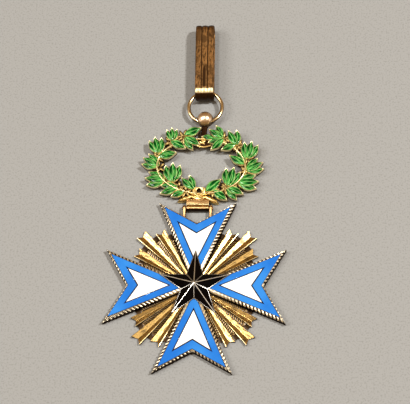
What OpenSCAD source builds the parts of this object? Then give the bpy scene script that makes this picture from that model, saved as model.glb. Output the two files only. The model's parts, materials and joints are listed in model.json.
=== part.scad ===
// Neck badge of an order: enamelled cross on rays, star, leaf wreath, ring and ribbon loop.
// The origin is the cross's centre on its back face. +Y runs up to the ribbon loop, +Z out of the face.

/* [Cross] */
// Distance from the centre to the line through an arm's two tips
tip_reach = 30.5; // [25:0.5:40]
// Half the width of an arm across its two tips
tip_half = 13.24; // [10:0.02:14]
// Distance from the centre to the notch between an arm's tips
notch_reach = 23.06; // [20:0.02:26]
// Height of an arm's upright edge
edge_h = 2.05; // [1.4:0.05:2.2]
// Height of the enamelled face over the back
face_z = 2.6; // [2.4:0.1:4]
// Width of the milled rim along an arm's long sides
rim_side = 1.1; // [0.7:0.05:1.3]
// Width of the milled rim along an arm's notched end
rim_end = 0.65; // [0.5:0.05:0.9]
// Flat land between the milled rim's slope and the enamel
land = 0.15; // [0.1:0.05:0.3]
// Radius of the solid centre that joins the arms
boss_r = 4.3; // [3.5:0.1:4.6]

/* [Enamel of the cross] */
// Half the width of the white field across its two corners
white_half = 6.35; // [5:0.05:7]
// Distance from the centre to the white field's corners
white_reach = 23; // [21:0.1:24]
// Distance from the centre to the white field's notch
white_notch = 19.05; // [17:0.05:20]
// Distance from the centre to the white field's point
white_point = 8.4; // [7:0.1:10]
// Width of the cell wall between blue and white
wall_w = 0.3; // [0.2:0.05:0.5]
// Depth of the enamel in its cell
enamel_t = 0.6; // [0.3:0.05:1]
// Gap between an enamel and its cell
enamel_gap = 0.02; // [0.01:0.01:0.05]

/* [Rays] */
// Tip radius of the middle ray of a fan
ray_mid_tip = 27; // [24:0.1:28]
// Tip radius of the two side rays of a fan
ray_side_tip = 23.8; // [20:0.1:24.5]
// How far a ray's swallow tail is cut back
ray_cut = 1.2; // [0.6:0.1:2]
// Half angle of a wide ray
ray_half = 4.25; // [3.5:0.05:4.5]
// Angle from a fan's middle to its side rays
ray_step = 13.1; // [12.5:0.1:13.5]
// End radius of the narrow milled strips between the rays
strip_end = 20.7; // [18:0.1:22]
// End radius of the narrow strips beside the arms
edge_strip_end = 19.6; // [17:0.1:21]
// Height of a wide ray's two raised edges
ray_z = 1.3; // [1.1:0.05:1.6]
// Depth of a wide ray's valley at its end
ray_valley = 0.7; // [0.3:0.05:0.8]
// Height of the narrow strips
strip_z = 0.95; // [0.5:0.05:1]
// Angle left free between a fan and the arm beside it
fan_gap = 0.2; // [0.1:0.05:0.5]

/* [Star] */
// Radius of the star's points
star_r = 12.45; // [10:0.05:13]
// Height of the star's upright edge
star_edge = 0.35; // [0.2:0.05:0.6]
// Height of the star's centre over the cross's face
star_rise = 2.6; // [1.5:0.1:3.5]
// Half the width of the gilt lines on the star
star_line = 0.2; // [0.15:0.01:0.3]
// Depth of the black enamel
star_enamel_t = 0.3; // [0.2:0.05:0.4]

/* [Hinge] */
// Distance from the centre to the hinge pin
hinge_y = 28.7; // [28.2:0.1:29]
// Height of the hinge pin over the back
hinge_z = 1.45; // [1.3:0.05:1.6]
// Radius of the wreath's knuckle and of the cross's ears
knuckle_r = 1.05; // [0.9:0.05:1.2]
// Length of the wreath's knuckle
knuckle_len = 7.7; // [5:0.1:8]
// Thickness of an ear
ear_t = 1; // [0.6:0.1:1.4]
// Gap between the knuckle and an ear
ear_gap = 0.15; // [0.1:0.05:0.3]
// Length of an ear from the pin to its root in the arm
ear_root = 3.6; // [3.4:0.1:4]
// How much lower an ear's root is than its round end
ear_step = 0.3; // [0.2:0.05:0.5]
// Radius of the hinge pin
pin_r = 0.5; // [0.4:0.05:0.6]
// Radial clearance of the pin in the knuckle
pin_clear = 0.06; // [0.03:0.01:0.09]
// Height of the pin's riveted heads
pin_head = 0.35; // [0.2:0.05:0.5]

/* [Wreath] */
// Half the width of the stem's oval, on its middle line
stem_a = 15.35; // [14:0.05:17]
// Half the height of the stem's oval, on its middle line
stem_b = 10.35; // [9.5:0.05:11]
// Distance from the hinge pin to the middle of the oval
stem_y = 15.5; // [15:0.1:16.5]
// Width of the stem
stem_w = 1.1; // [0.8:0.1:1.5]
// Width of a leaf's stalk
stalk_w = 0.8; // [0.5:0.1:1]
// How far the wreath leans to the right, in degrees
lean = 2.7; // [0:0.1:4]
// Height of the wreath's back below the hinge pin's plane
wreath_back = 0.95; // [0.8:0.05:1.05]
// Height of the stems over the hinge pin's plane
stem_top = 0.75; // [0.5:0.05:1]
// Height of the leaves over the hinge pin's plane
leaf_top = 1.15; // [1:0.05:1.4]
// Width of the gilt border round a leaf's enamel
leaf_rim = 0.26; // [0.2:0.02:0.4]
// Depth of the leaf enamel
leaf_enamel_t = 0.45; // [0.3:0.05:0.6]

/* [Foot and tie of the wreath] */
// Length of the foot block from the hinge pin
block_len = 3.2; // [3:0.1:3.6]
// Width of the gusset over the foot block
gusset_w = 4.6; // [3:0.1:6]
// Distance from the hinge pin to the gusset's far end
gusset_end = 7.6; // [7:0.1:8.5]
// Radius of the small hole in the gusset
gusset_hole = 0.6; // [0.4:0.05:0.8]
// Length of the two bare leaves beside the gusset
bare_leaf = 6.6; // [5:0.1:7]
// How far the bare leaves hang down, in degrees
bare_droop = 24; // [15:1:30]
// Distance from the hinge pin to the middle of the tie between the branches
tie_y = 24.4; // [24:0.1:25]
// Width of the tie
tie_w = 4; // [3:0.1:5]
// Length of the tie along the wreath's middle
tie_h = 3; // [2:0.1:3.4]

/* [Ball and ring] */
// Radius of the ball
ball_r = 2.85; // [2.6:0.05:3.2]
// Distance from the hinge pin to the ball's middle
ball_y = 33.6; // [33:0.1:35]
// How far the ring's bore lies below the ball's middle
bore_drop = 0.7; // [0:0.1:0.9]
// Radius of the bore through the ball
bore_r = 1.2; // [1.1:0.05:1.3]
// Radius of the ring on its wire's middle line
ring_r = 5.85; // [5:0.05:7]
// Radius of the ring's wire
wire_r = 0.65; // [0.5:0.05:0.8]
// Radius of the neck that carries the ball
neck_r = 0.9; // [0.7:0.05:0.95]
// Distance from the hinge pin to the neck's round part
neck_foot = 27.6; // [27.4:0.1:28.5]

/* [Ribbon loop] */
// Width of the loop's strip
bail_w = 6.5; // [6:0.1:7]
// Overall length of the loop
bail_len = 30; // [26:0.5:34]
// Overall depth of the loop
bail_depth = 6.5; // [6.2:0.1:8]
// Thickness of the strip between its reeds
strip_t = 0.45; // [0.4:0.05:0.8]
// Height of the reeds on the strip
reed_h = 0.25; // [0.1:0.05:0.3]
// Number of reeds across the strip
reeds = 3; // [2:1:4]
// Gap between the ring's wire and the loop's bend at rest
bail_slack = 0.35; // [0.2:0.05:0.6]
// How far the loop leans to the left, in degrees
bail_lean = 1.1; // [0:0.1:3]
// How far the loop hangs to the left of the ring's top
bail_shift = 0.35; // [0:0.05:0.5]

/* [Hidden] */
eps = 0.01;
$fn = 64;
gilt = "#c9982f";
dark_gilt = "#8a5a24";

// An arm is a dart: [half width at its corners, their distance, its notch's and its point's distances].
arm = [tip_half, tip_reach, notch_reach, 0];
rim_in = [rim_side, rim_end];
slope_in = [rim_side - land, rim_end - land];
white = [white_half, white_reach, white_notch, white_point];

// Each bunch of leaves: its foot's place from the hinge pin, its aim, its length, its number of lobes.
foot_x = 0;
foot_y = 1;
aim = 2;
reach = 3;
lobes = 4;
LEAVES = [
    // left branch, outer side, from the foot up
    [-5.5, 5.5, -155, 4.6, 1],
    [-8.1, 7.2, -166, 6.0, 2],
    [-12.7, 9.6, 176, 6.6, 3],
    [-15.3, 15.0, 152, 6.0, 3],
    [-15.2, 20.2, 108, 6.1, 3],
    [-10.8, 25.2, 97, 4.7, 3],
    [-6.2, 27.2, 28, 6.1, 1],
    // left branch, inner side
    [-2.2, 7.1, 126, 5.7, 2],
    [-9.5, 9.6, 93, 7.0, 3],
    [-14.7, 18.5, 17, 6.2, 1],
    [-10.8, 24.2, -24, 5.6, 1],
    [-6.2, 25.7, -37, 5.8, 2],
    // right branch, outer side
    [5.4, 6.2, -34, 5.6, 1],
    [9.9, 7.4, -31, 5.8, 2],
    [13.8, 9.9, 6, 6.7, 3],
    [16.3, 14.8, 31, 6.0, 3],
    [15.8, 19.5, 79, 6.5, 3],
    [11.6, 24.5, 110, 5.9, 2],
    [6.4, 26.9, 137, 5.5, 2],
    // right branch, inner side
    [2.7, 6.4, 44, 6.6, 1],
    [9.9, 9.0, 76, 6.9, 3],
    [14.7, 17.2, 139, 6.0, 2],
    [10.9, 23.9, -155, 5.0, 1],
    [6.6, 26.0, -144, 5.8, 2],
    [3.1, 26.4, 178, 4.0, 1],
];
// How a bunch's lobes spread, the front lobe first: [angle, the foot's step aside, length], the last two as
// shares of the bunch's reach.
SPREAD = [
    [[0, 0, 1]],
    [[8, 0.07, 1], [-12, -0.07, 0.9]],
    [[0, 0, 1], [16, 0.1, 0.9], [-16, -0.1, 0.9]],
];
single_width = 0.5;
lobe_width = 0.41;
// How much narrower a leaf's tip is than its foot
leaf_taper = 0.25;
// How much a bunch narrows at its foot, and over which share of its reach
foot_pinch = 0.6;
pinch_reach = 0.6;

ear_in = knuckle_len / 2 + ear_gap;
ear_out = ear_in + ear_t;
// Rays start a little off the boss, and a strip starts a little farther out, inside the ray beside it.
ray_start = boss_r + 0.1;
strip_start = ray_start + 0.3;
strip_bite = 0.4;
strip_lift = 0.05;
star_low = face_z + 0.02;
arc_steps = 8;
stalk_back = 9;
stalk_tip = 0.8;
gusset_start = 2.6;
rise = asin((ball_r - hinge_z) / ball_y);
ball_at = on_wreath([0, ball_y]);
bore_at = on_wreath([0, ball_y - bore_drop]);
// The wire's middle line bows inside the ball, so its lowest point lies half the bow below the bore's axis.
bow = ring_r - sqrt(ring_r * ring_r - ball_r * ball_r);
ring_reach = 2 * ring_r - bow / 2;
bail_mid = bail_depth / 2;
ring_tilt = asin((bail_mid - bore_at[2]) / ring_reach);
ring_mid = bore_at + along_ring(ring_r - bow / 2);
bail_at = ring_mid + ring_r * [-sin(bail_lean), cos(bail_lean) * cos(ring_tilt), sin(ring_tilt)];
bend_in = bail_mid - strip_t - reed_h;
// The wire droops this much from the ring's top to the loop's far side.
far_side = bail_w / 2 + bail_shift;
wire_droop = ring_r - sqrt(ring_r * ring_r - far_side * far_side);
bend_low = bend_in - wire_droop - wire_r - bail_slack;

// A point of the wreath's flat plan, in the badge's frame.
function on_wreath(p, z = 0) =
    let (x = p[0] * cos(lean) + p[1] * sin(lean), y = p[1] * cos(lean) - p[0] * sin(lean))
    [x, hinge_y + y * cos(rise) - z * sin(rise), hinge_z + y * sin(rise) + z * cos(rise)];

// A step of this length from the bore towards the ring's far side.
function along_ring(d) = [0, d * cos(ring_tilt), d * sin(ring_tilt)];

// A dart drawn in by s on its long sides and by e on its notched end.
function drawn_in(d, s, e) =
    let (side = d[0] / (d[1] - d[3]), end = (d[1] - d[2]) / d[0])
    let (point = d[3] + s / sin(atan(side)), notch = d[2] - e / cos(atan(end)))
    let (half = (notch - point) * side / (1 - side * end))
    [half, point + half / side, notch, point];

function dart_points(d) = [[0, d[3]], [d[0], d[1]], [0, d[2]], [-d[0], d[1]]];

function lifted(points, z) = [for (p = points) [p[0], p[1], z]];

function on_circle(r, a) = [r * cos(a), r * sin(a)];

// A solid between rings of points with equal counts, each ring's first point seeing all the others.
module stacked(rings) {
    n = len(rings[0]);
    top = (len(rings) - 1) * n;
    walls = [for (k = [0 : len(rings) - 2], i = [0 : n - 1])
        [k * n + i, (k + 1) * n + i, (k + 1) * n + (i + 1) % n, k * n + (i + 1) % n]];
    roof = [for (i = [1 : n - 2]) [top, top + i + 1, top + i]];
    polyhedron([for (r = rings, p = r) p], concat([[for (i = [0 : n - 1]) i]], walls, roof));
}

// Sub-parts of the cross

module each_arm() {
    for (i = [0 : 3]) rotate(90 * i) children();
}

module arm_plate() {
    outline = dart_points(arm);
    crest = drawn_in(arm, slope_in[0], slope_in[1]);
    stacked([lifted(outline, 0), lifted(outline, edge_h), lifted(dart_points(crest), face_z)]);
}

module white_plan(gap = 0) {
    d = drawn_in(white, wall_w / 2 + gap, wall_w / 2 + gap);
    polygon(dart_points(d));
}

module blue_plan(gap = 0) {
    outside = drawn_in(arm, rim_in[0] + gap, rim_in[1] + gap);
    inside = drawn_in(white, -wall_w / 2 - gap, -wall_w / 2 - gap);
    difference() {
        polygon(dart_points(outside));
        polygon(dart_points(inside));
        circle(boss_r + gap);
    }
}

module ear() {
    rotate([90, 0, 90]) linear_extrude(ear_t) {
        translate([hinge_y, hinge_z]) circle(knuckle_r);
        translate([hinge_y - ear_root, hinge_z - knuckle_r]) square([ear_root, 2 * knuckle_r - ear_step]);
    }
}

module cross() {
    color(gilt) difference() {
        union() {
            each_arm() arm_plate();
            cylinder(r = boss_r, h = face_z);
            for (x = [ear_in, -ear_out]) translate([x, 0, 0]) ear();
        }
        translate([0, 0, face_z - enamel_t]) each_arm() linear_extrude(enamel_t + 1) {
            blue_plan();
            white_plan();
        }
        translate([0, hinge_y, hinge_z]) rotate([0, 90, 0])
            cylinder(r = pin_r + enamel_gap, h = 3 * ear_out, center = true);
    }
}

module blue_enamel(i) {
    color("#2f86e0") rotate(90 * (i - 1)) translate([0, 0, face_z - enamel_t + enamel_gap])
        linear_extrude(enamel_t - enamel_gap) blue_plan(enamel_gap);
}

module white_enamel(i) {
    color("#f4f6f4") rotate(90 * (i - 1)) translate([0, 0, face_z - enamel_t + enamel_gap])
        linear_extrude(enamel_t - enamel_gap) white_plan(enamel_gap);
}

module hinge_pin() {
    color(gilt) translate([0, hinge_y, hinge_z]) rotate([0, 90, 0]) {
        cylinder(r = pin_r, h = 2 * (ear_out + eps), center = true);
        for (side = [-1, 1]) translate([0, 0, side * (ear_out + eps + pin_head / 2)])
            cylinder(r = 1.5 * pin_r, h = pin_head, center = true);
    }
}

// Rays

// A wide ray from the boss to its swallow tail, its valley deepening outwards.
module wide_ray(tip) {
    low = concat(
        [on_circle(ray_start, 0), on_circle(ray_start, -ray_half), on_circle(tip, -ray_half)],
        [on_circle(tip - ray_cut, 0), on_circle(tip, ray_half), on_circle(ray_start, ray_half)]
    );
    high = [for (p = low) [p[0], p[1], p[1] == 0 ? ray_z - ray_valley * p[0] / tip : ray_z]];
    stacked([lifted(low, 0), high]);
}

// A narrow strip between two angles, which starts inside the wide ray beside it.
module narrow_strip(from, to, end) {
    inner = [on_circle(strip_start, to), on_circle(strip_start, from)];
    outer = [on_circle(end, from), on_circle(end, to)];
    translate([0, 0, strip_lift]) linear_extrude(strip_z - strip_lift) polygon(concat(inner, outer));
}

module ray_fan(i) {
    arm_side = atan(tip_half / tip_reach);
    fan_half = 45 - arm_side - fan_gap;
    edge = ray_half - strip_bite;
    color(gilt) rotate(90 * i - 45) {
        wide_ray(ray_mid_tip);
        for (side = [-1, 1]) {
            rotate(side * ray_step) wide_ray(ray_side_tip);
            mirror([0, side < 0 ? 1 : 0]) {
                narrow_strip(edge, ray_step - edge, strip_end);
                narrow_strip(ray_step + edge, fan_half, edge_strip_end);
            }
        }
    }
}

// Star

star_top = [0, 0, face_z + star_rise];

function star_corner(k) =
    let (r = k % 2 == 0 ? star_r : star_r * sin(18) / sin(54))
    concat(on_circle(r, 90 + 36 * k), [star_low + star_edge]);

function facet(k) = [star_top, star_corner(k), star_corner(k + 1)];

function incentre(t) =
    let (a = norm(t[1] - t[2]), b = norm(t[2] - t[0]), c = norm(t[0] - t[1]))
    (a * t[0] + b * t[1] + c * t[2]) / (a + b + c);

function inradius(t) =
    let (a = norm(t[1] - t[2]), b = norm(t[2] - t[0]), c = norm(t[0] - t[1]))
    norm(cross(t[1] - t[0], t[2] - t[0])) / (a + b + c);

function shrunk(t, d) = let (c = incentre(t), k = 1 - d / inradius(t)) [for (p = t) c + (p - c) * k];

// A three-cornered plate that sinks below a facet by depth and stands over it by proud.
module facet_plate(k, d, depth, proud) {
    t = facet(k);
    up = cross(t[1] - t[0], t[2] - t[0]);
    unit = up / norm(up);
    s = shrunk(t, d);
    stacked([[for (p = s) p - unit * depth], [for (p = s) p + unit * proud]]);
}

module star() {
    rim = [for (k = [0 : 9]) star_corner(k)];
    foot = [for (p = rim) [p[0], p[1], star_low]];
    color(gilt) difference() {
        polyhedron(
            concat(foot, rim, [star_top, [0, 0, star_low]]),
            concat(
                [for (k = [0 : 9]) [21, k, (k + 1) % 10]],
                [for (k = [0 : 9]) [k, 10 + k, 10 + (k + 1) % 10, (k + 1) % 10]],
                [for (k = [0 : 9]) [10 + k, 20, 10 + (k + 1) % 10]]
            )
        );
        for (k = [0 : 9]) facet_plate(k, star_line, star_enamel_t, 1);
    }
}

module star_enamel() {
    color("#141312")
        for (k = [0 : 9]) facet_plate(k, star_line + enamel_gap, star_enamel_t - enamel_gap, 0);
}

// Wreath

module in_wreath() {
    translate([0, hinge_y, hinge_z]) rotate([rise, 0, 0]) children();
}

// A leaf's outline from its foot along +X: two arcs that meet in a point at each end, widest near the foot.
function lobe_points(length, width, inset) =
    let (r = (length * length + width * width) / (4 * width), away = r - width / 2)
    let (arc_r = r - inset, fan = acos(away / arc_r))
    [for (side = [1, -1], k = [0 : arc_steps - 1])
        let (a = fan * (2 * k / arc_steps - 1), x = length / 2 + side * arc_r * sin(a))
        [x * (1 - leaf_taper * (1 - x / length)), side * (away - arc_r * cos(a))]];

// How much a bunch is drawn together at a share of its reach.
function pinch(along) = 1 - foot_pinch * pow(max(0, 1 - along / pinch_reach), 2);

module bunch_lobe(leaf, k, inset) {
    spread = SPREAD[leaf[lobes] - 1][k];
    width = leaf[reach] * (leaf[lobes] == 1 ? single_width : lobe_width);
    c = cos(spread[0]);
    s = sin(spread[0]);
    points = [for (p = lobe_points(leaf[reach] * spread[2], width, inset))
        [c * p[0] - s * p[1], s * p[0] + c * p[1] + leaf[reach] * spread[1]]];
    translate([leaf[foot_x], leaf[foot_y]]) rotate(leaf[aim])
        polygon([for (p = points) [p[0], p[1] * pinch(p[0] / leaf[reach])]]);
}

module bunch_plan(leaf) {
    for (k = [0 : leaf[lobes] - 1]) bunch_lobe(leaf, k, 0);
}

// The enamel cells of a bunch: a back lobe's cell stops at the front lobe's border.
module bunch_cells(leaf, gap = 0) {
    bunch_lobe(leaf, 0, leaf_rim + gap);
    if (leaf[lobes] > 1) difference() {
        for (k = [1 : leaf[lobes] - 1]) bunch_lobe(leaf, k, leaf_rim + gap);
        bunch_lobe(leaf, 0, -gap);
    }
}

function stem_point(t, out = 0) = [(stem_a + out) * cos(t), stem_y + (stem_b + out) * sin(t)];

module oval_plan(out) {
    polygon([for (t = [0 : 7.5 : 352.5]) stem_point(t, out)]);
}

module bar_plan(from, to, width) {
    d = to - from;
    translate(from) rotate(atan2(d[1], d[0])) translate([0, -width / 2]) square([norm(d), width]);
}

// A leaf's stalk leaves the stem a little lower down than its foot stands.
module stalk_plan(leaf) {
    t = atan2((leaf[foot_y] - stem_y) / stem_b, leaf[foot_x] / stem_a);
    down = abs(t) < 90 ? -stalk_back : stalk_back;
    bar_plan(stem_point(t + down), [leaf[foot_x], leaf[foot_y]] + on_circle(stalk_tip, leaf[aim]), stalk_w);
}

module stem_plan() {
    difference() {
        oval_plan(stem_w / 2);
        oval_plan(-stem_w / 2);
    }
    for (leaf = LEAVES) stalk_plan(leaf);
    gusset_plan();
    translate([-tie_w / 2, tie_y - tie_h / 2]) square([tie_w, tie_h]);
    translate([-neck_r, tie_y]) square([2 * neck_r, neck_foot + neck_r - tie_y]);
}

// The gusset over the foot block, with its bare leaves.
module gusset_plan() {
    difference() {
        translate([-gusset_w / 2, gusset_start]) square([gusset_w, gusset_end - gusset_start]);
        translate([0, gusset_end - 2 * gusset_hole]) circle(gusset_hole);
    }
    for (side = [0, 1]) mirror([side, 0]) translate([gusset_w / 3, stem_y - stem_b - stem_w / 2])
        rotate(-bare_droop) polygon(lobe_points(bare_leaf, bare_leaf / 4, 0));
}

module foot_block() {
    difference() {
        union() {
            rotate([0, 90, 0]) cylinder(r = knuckle_r, h = knuckle_len, center = true);
            translate([-knuckle_len / 2, 0, -wreath_back])
                cube([knuckle_len, block_len, wreath_back + stem_top]);
        }
        rotate([0, 90, 0]) cylinder(r = pin_r + pin_clear, h = 2 * knuckle_len, center = true);
    }
}

module leaves_and_stems() {
    difference() {
        union() {
            translate([0, 0, -wreath_back]) linear_extrude(wreath_back + stem_top) stem_plan();
            translate([0, 0, -wreath_back]) linear_extrude(wreath_back + leaf_top)
                for (leaf = LEAVES) bunch_plan(leaf);
        }
        translate([0, 0, leaf_top - leaf_enamel_t]) linear_extrude(leaf_enamel_t + 1)
            for (leaf = LEAVES) bunch_cells(leaf);
    }
}

// The ball stands on a round neck that rises from the tie.
module neck() {
    top = ball_y - ball_r / 2;
    translate([0, neck_foot, 0]) rotate([-90, 0, 0]) cylinder(r = neck_r, h = top - neck_foot);
}

module wreath() {
    color(gilt) difference() {
        union() {
            in_wreath() {
                foot_block();
                rotate(-lean) {
                    leaves_and_stems();
                    neck();
                }
            }
            translate(ball_at) rotate(90) sphere(ball_r);
        }
        translate(bore_at) rotate([0, 90, 0]) cylinder(r = bore_r, h = 3 * ball_r, center = true);
    }
}

module leaf_enamel(i) {
    color("#2aa84a") in_wreath() rotate(-lean)
        translate([0, 0, leaf_top - leaf_enamel_t + enamel_gap])
        linear_extrude(leaf_enamel_t - enamel_gap) bunch_cells(LEAVES[i - 1], enamel_gap);
}

// Ring and ribbon loop

module ring() {
    color(gilt) translate(ring_mid) rotate([ring_tilt, 0, 0])
        rotate_extrude() translate([ring_r, 0]) circle(wire_r, $fn = 32);
}

// The strip's section, its inner face on the X axis and its reeds outwards along +Y.
module strip_plan() {
    reed = bail_w / reeds;
    r = (reed * reed / 4 + reed_h * reed_h) / (2 * reed_h);
    translate([-bail_w / 2, 0]) square([bail_w, strip_t]);
    for (k = [0 : reeds - 1]) intersection() {
        translate([(k + 0.5 - reeds / 2) * reed, strip_t + reed_h - r]) circle(r);
        translate([k * reed - bail_w / 2, 0]) square([reed, strip_t + reed_h]);
    }
}

module bail() {
    leg = bail_len - bail_depth;
    bend_out = strip_t + reed_h;
    color(dark_gilt) translate(bail_at) rotate(bail_lean) translate([-bail_shift, bend_low, 0]) rotate([0, 0, 90]) {
        for (side = [0, 1]) mirror([0, 0, side]) translate([0, 0, bail_mid - bend_out])
            rotate([90, 0, 90]) linear_extrude(leg) strip_plan();
        for (at = [0, leg]) translate([at, 0, 0]) rotate([0, at == 0 ? -90 : 90, 0]) rotate([90, 0, 0])
            rotate_extrude(angle = 180) translate([bail_mid - bend_out, 0]) rotate(-90) strip_plan();
    }
}

cross();
star();
star_enamel();
hinge_pin();
wreath();
ring();
bail();
for (i = [1 : 4]) {
    ray_fan(i);
    blue_enamel(i);
    white_enamel(i);
}
for (i = [1 : len(LEAVES)])
    leaf_enamel(i);
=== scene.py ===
"""The finished look of an enamelled neck badge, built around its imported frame.

Pieces are modelled in millimetres and stored in metres, in the frame of the badge:
the cross's centre on its back face, +Y up to the ribbon loop, +Z out of the face.
"""

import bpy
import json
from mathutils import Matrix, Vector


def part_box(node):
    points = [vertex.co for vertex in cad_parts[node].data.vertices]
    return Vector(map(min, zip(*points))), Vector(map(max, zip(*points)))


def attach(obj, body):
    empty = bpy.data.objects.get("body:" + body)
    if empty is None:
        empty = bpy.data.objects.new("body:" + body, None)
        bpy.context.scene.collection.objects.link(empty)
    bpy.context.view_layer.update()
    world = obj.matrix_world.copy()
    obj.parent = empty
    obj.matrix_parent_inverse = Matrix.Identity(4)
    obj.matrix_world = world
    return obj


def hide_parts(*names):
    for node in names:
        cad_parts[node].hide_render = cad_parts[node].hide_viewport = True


bl_info = {
    "name": "Order Badge",
    "version": (1, 0, 0),
    "blender": (4, 5, 0),
    "location": "View3D > Sidebar > Badge",
    "description": "Builds the milled, enamelled and gilt pieces of a neck badge",
    "category": "Object",
}

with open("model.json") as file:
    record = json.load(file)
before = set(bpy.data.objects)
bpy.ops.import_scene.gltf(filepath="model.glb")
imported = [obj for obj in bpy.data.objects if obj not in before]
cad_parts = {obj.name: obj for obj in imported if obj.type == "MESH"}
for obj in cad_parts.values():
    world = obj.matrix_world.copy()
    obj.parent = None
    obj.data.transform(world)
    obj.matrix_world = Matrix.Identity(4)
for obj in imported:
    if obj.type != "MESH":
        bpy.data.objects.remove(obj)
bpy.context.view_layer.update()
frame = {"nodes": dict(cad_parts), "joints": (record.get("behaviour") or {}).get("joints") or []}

import json
import math
from collections import namedtuple
from types import SimpleNamespace

import bmesh
import bpy
from mathutils import Matrix, Vector, noise

MM = 0.001
UP = Vector((0, 0, 1))
JOINTS = {joint["name"]: joint for joint in frame["joints"]}
HINGE = Vector(JOINTS["cross_hinge"]["pos_m"]) / MM
BORE = Vector(JOINTS["ring_swing"]["pos_m"]) / MM
LOOP_PIVOT = Vector(JOINTS["bail_swing"]["pos_m"]) / MM

# A bunch of leaves on the wreath: its foot, its aim in degrees, its length and its number of lobes.
Bunch = namedtuple("Bunch", "x y aim reach lobes")
BUNCHES = [
    Bunch(-5.5, 5.5, -155, 4.6, 1),
    Bunch(-8.1, 7.2, -166, 6.0, 2),
    Bunch(-12.7, 9.6, 176, 6.6, 3),
    Bunch(-15.3, 15.0, 152, 6.0, 3),
    Bunch(-15.2, 20.2, 108, 6.1, 3),
    Bunch(-10.8, 25.2, 97, 4.7, 3),
    Bunch(-6.2, 27.2, 28, 6.1, 1),
    Bunch(-2.2, 7.1, 126, 5.7, 2),
    Bunch(-9.5, 9.6, 93, 7.0, 3),
    Bunch(-14.7, 18.5, 17, 6.2, 1),
    Bunch(-10.8, 24.2, -24, 5.6, 1),
    Bunch(-6.2, 25.7, -37, 5.8, 2),
    Bunch(5.4, 6.2, -34, 5.6, 1),
    Bunch(9.9, 7.4, -31, 5.8, 2),
    Bunch(13.8, 9.9, 6, 6.7, 3),
    Bunch(16.3, 14.8, 31, 6.0, 3),
    Bunch(15.8, 19.5, 79, 6.5, 3),
    Bunch(11.6, 24.5, 110, 5.9, 2),
    Bunch(6.4, 26.9, 137, 5.5, 2),
    Bunch(2.7, 6.4, 44, 6.6, 1),
    Bunch(9.9, 9.0, 76, 6.9, 3),
    Bunch(14.7, 17.2, 139, 6.0, 2),
    Bunch(10.9, 23.9, -155, 5.0, 1),
    Bunch(6.6, 26.0, -144, 5.8, 2),
    Bunch(3.1, 26.4, 178, 4.0, 1),
]
# How the lobes of a bunch spread, the front one first: each one's angle in degrees, and its
# foot's step aside and its length as shares of the bunch's length.
SPREADS = {
    1: [(0, 0.0, 1.0)],
    2: [(8, 0.07, 1.0), (-12, -0.07, 0.9)],
    3: [(0, 0.0, 1.0), (16, 0.1, 0.9), (-16, -0.1, 0.9)],
}
# The middle of the gusset, and how far from it a bunch has room for bracts.
GUSSET_Y = 6.4
CLEAR_OF_GUSSET = 5


def length(name, description, millimetres):
    """A length on the panel, given in millimetres."""
    return bpy.props.FloatProperty(
        name=name, description=description, default=millimetres * MM, min=0.0, precision=5,
        unit="LENGTH",
    )


def angle(name, description, degrees):
    """An angle on the panel, given in degrees."""
    return bpy.props.FloatProperty(
        name=name, description=description, default=math.radians(degrees), subtype="ANGLE"
    )


def share(name, description, value):
    """A share between nothing and all."""
    return bpy.props.FloatProperty(
        name=name, description=description, default=value, min=0.0, max=1.0, subtype="FACTOR"
    )


def colour(name, description, rgb):
    """A linear colour on the panel."""
    return bpy.props.FloatVectorProperty(
        name=name, description=description, default=rgb, min=0.0, max=1.0, size=3, subtype="COLOR"
    )


def number(name, description, value, unit="NONE"):
    """A number that isn't negative: a power, a strength or a focal length."""
    return bpy.props.FloatProperty(
        name=name, description=description, default=value, min=0.0, unit=unit
    )


class BadgeCross(bpy.types.PropertyGroup):
    """Sizes of the cross's arms and of their milling."""

    tip_reach: length("Tip reach", "From the centre to the line through an arm's two tips", 30.5)
    tip_half: length("Tip half width", "Half an arm's width across its tips", 13.24)
    notch_reach: length("Notch reach", "From the centre to the notch between an arm's tips", 23.06)
    edge_h: length("Edge height", "Height of an arm's upright edge", 2.05)
    face_z: length("Face height", "Height of the enamelled face", 2.6)
    rim_side: length("Side rim", "Width of the rim along an arm's sides", 1.1)
    rim_end: length("End rim", "Width of the rim along an arm's notched end", 0.65)
    land: length("Land", "Flat strip between milling and enamel", 0.15)
    boss_r: length("Boss radius", "Radius of the solid centre", 4.3)
    white_half: length("White half width", "Half the white field's width at its corners", 6.35)
    white_reach: length("White reach", "From the centre to the white field's corners", 23.0)
    white_notch: length("White notch", "From the centre to the white field's notch", 19.05)
    white_point: length("White point", "From the centre to the white field's point", 8.4)
    wall: length("Cell wall", "Width of the wall between blue and white", 0.3)
    cell_depth: length("Cell depth", "Depth of the enamel cells", 0.62)
    pitch: length("Milling pitch", "Distance between two strands of the milling", 1.36)
    milling: length("Milling depth", "Depth of the milling's grooves", 0.3)
    rubbed_r: length("Rubbed radius", "Radius inside which the milling is most rubbed", 8.0)
    crisp_r: length("Crisp radius", "Radius outside which the milling is crisp", 17.0)
    rubbed: share("Rubbed depth", "Share of the milling's depth left where it is rubbed", 0.4)


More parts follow.
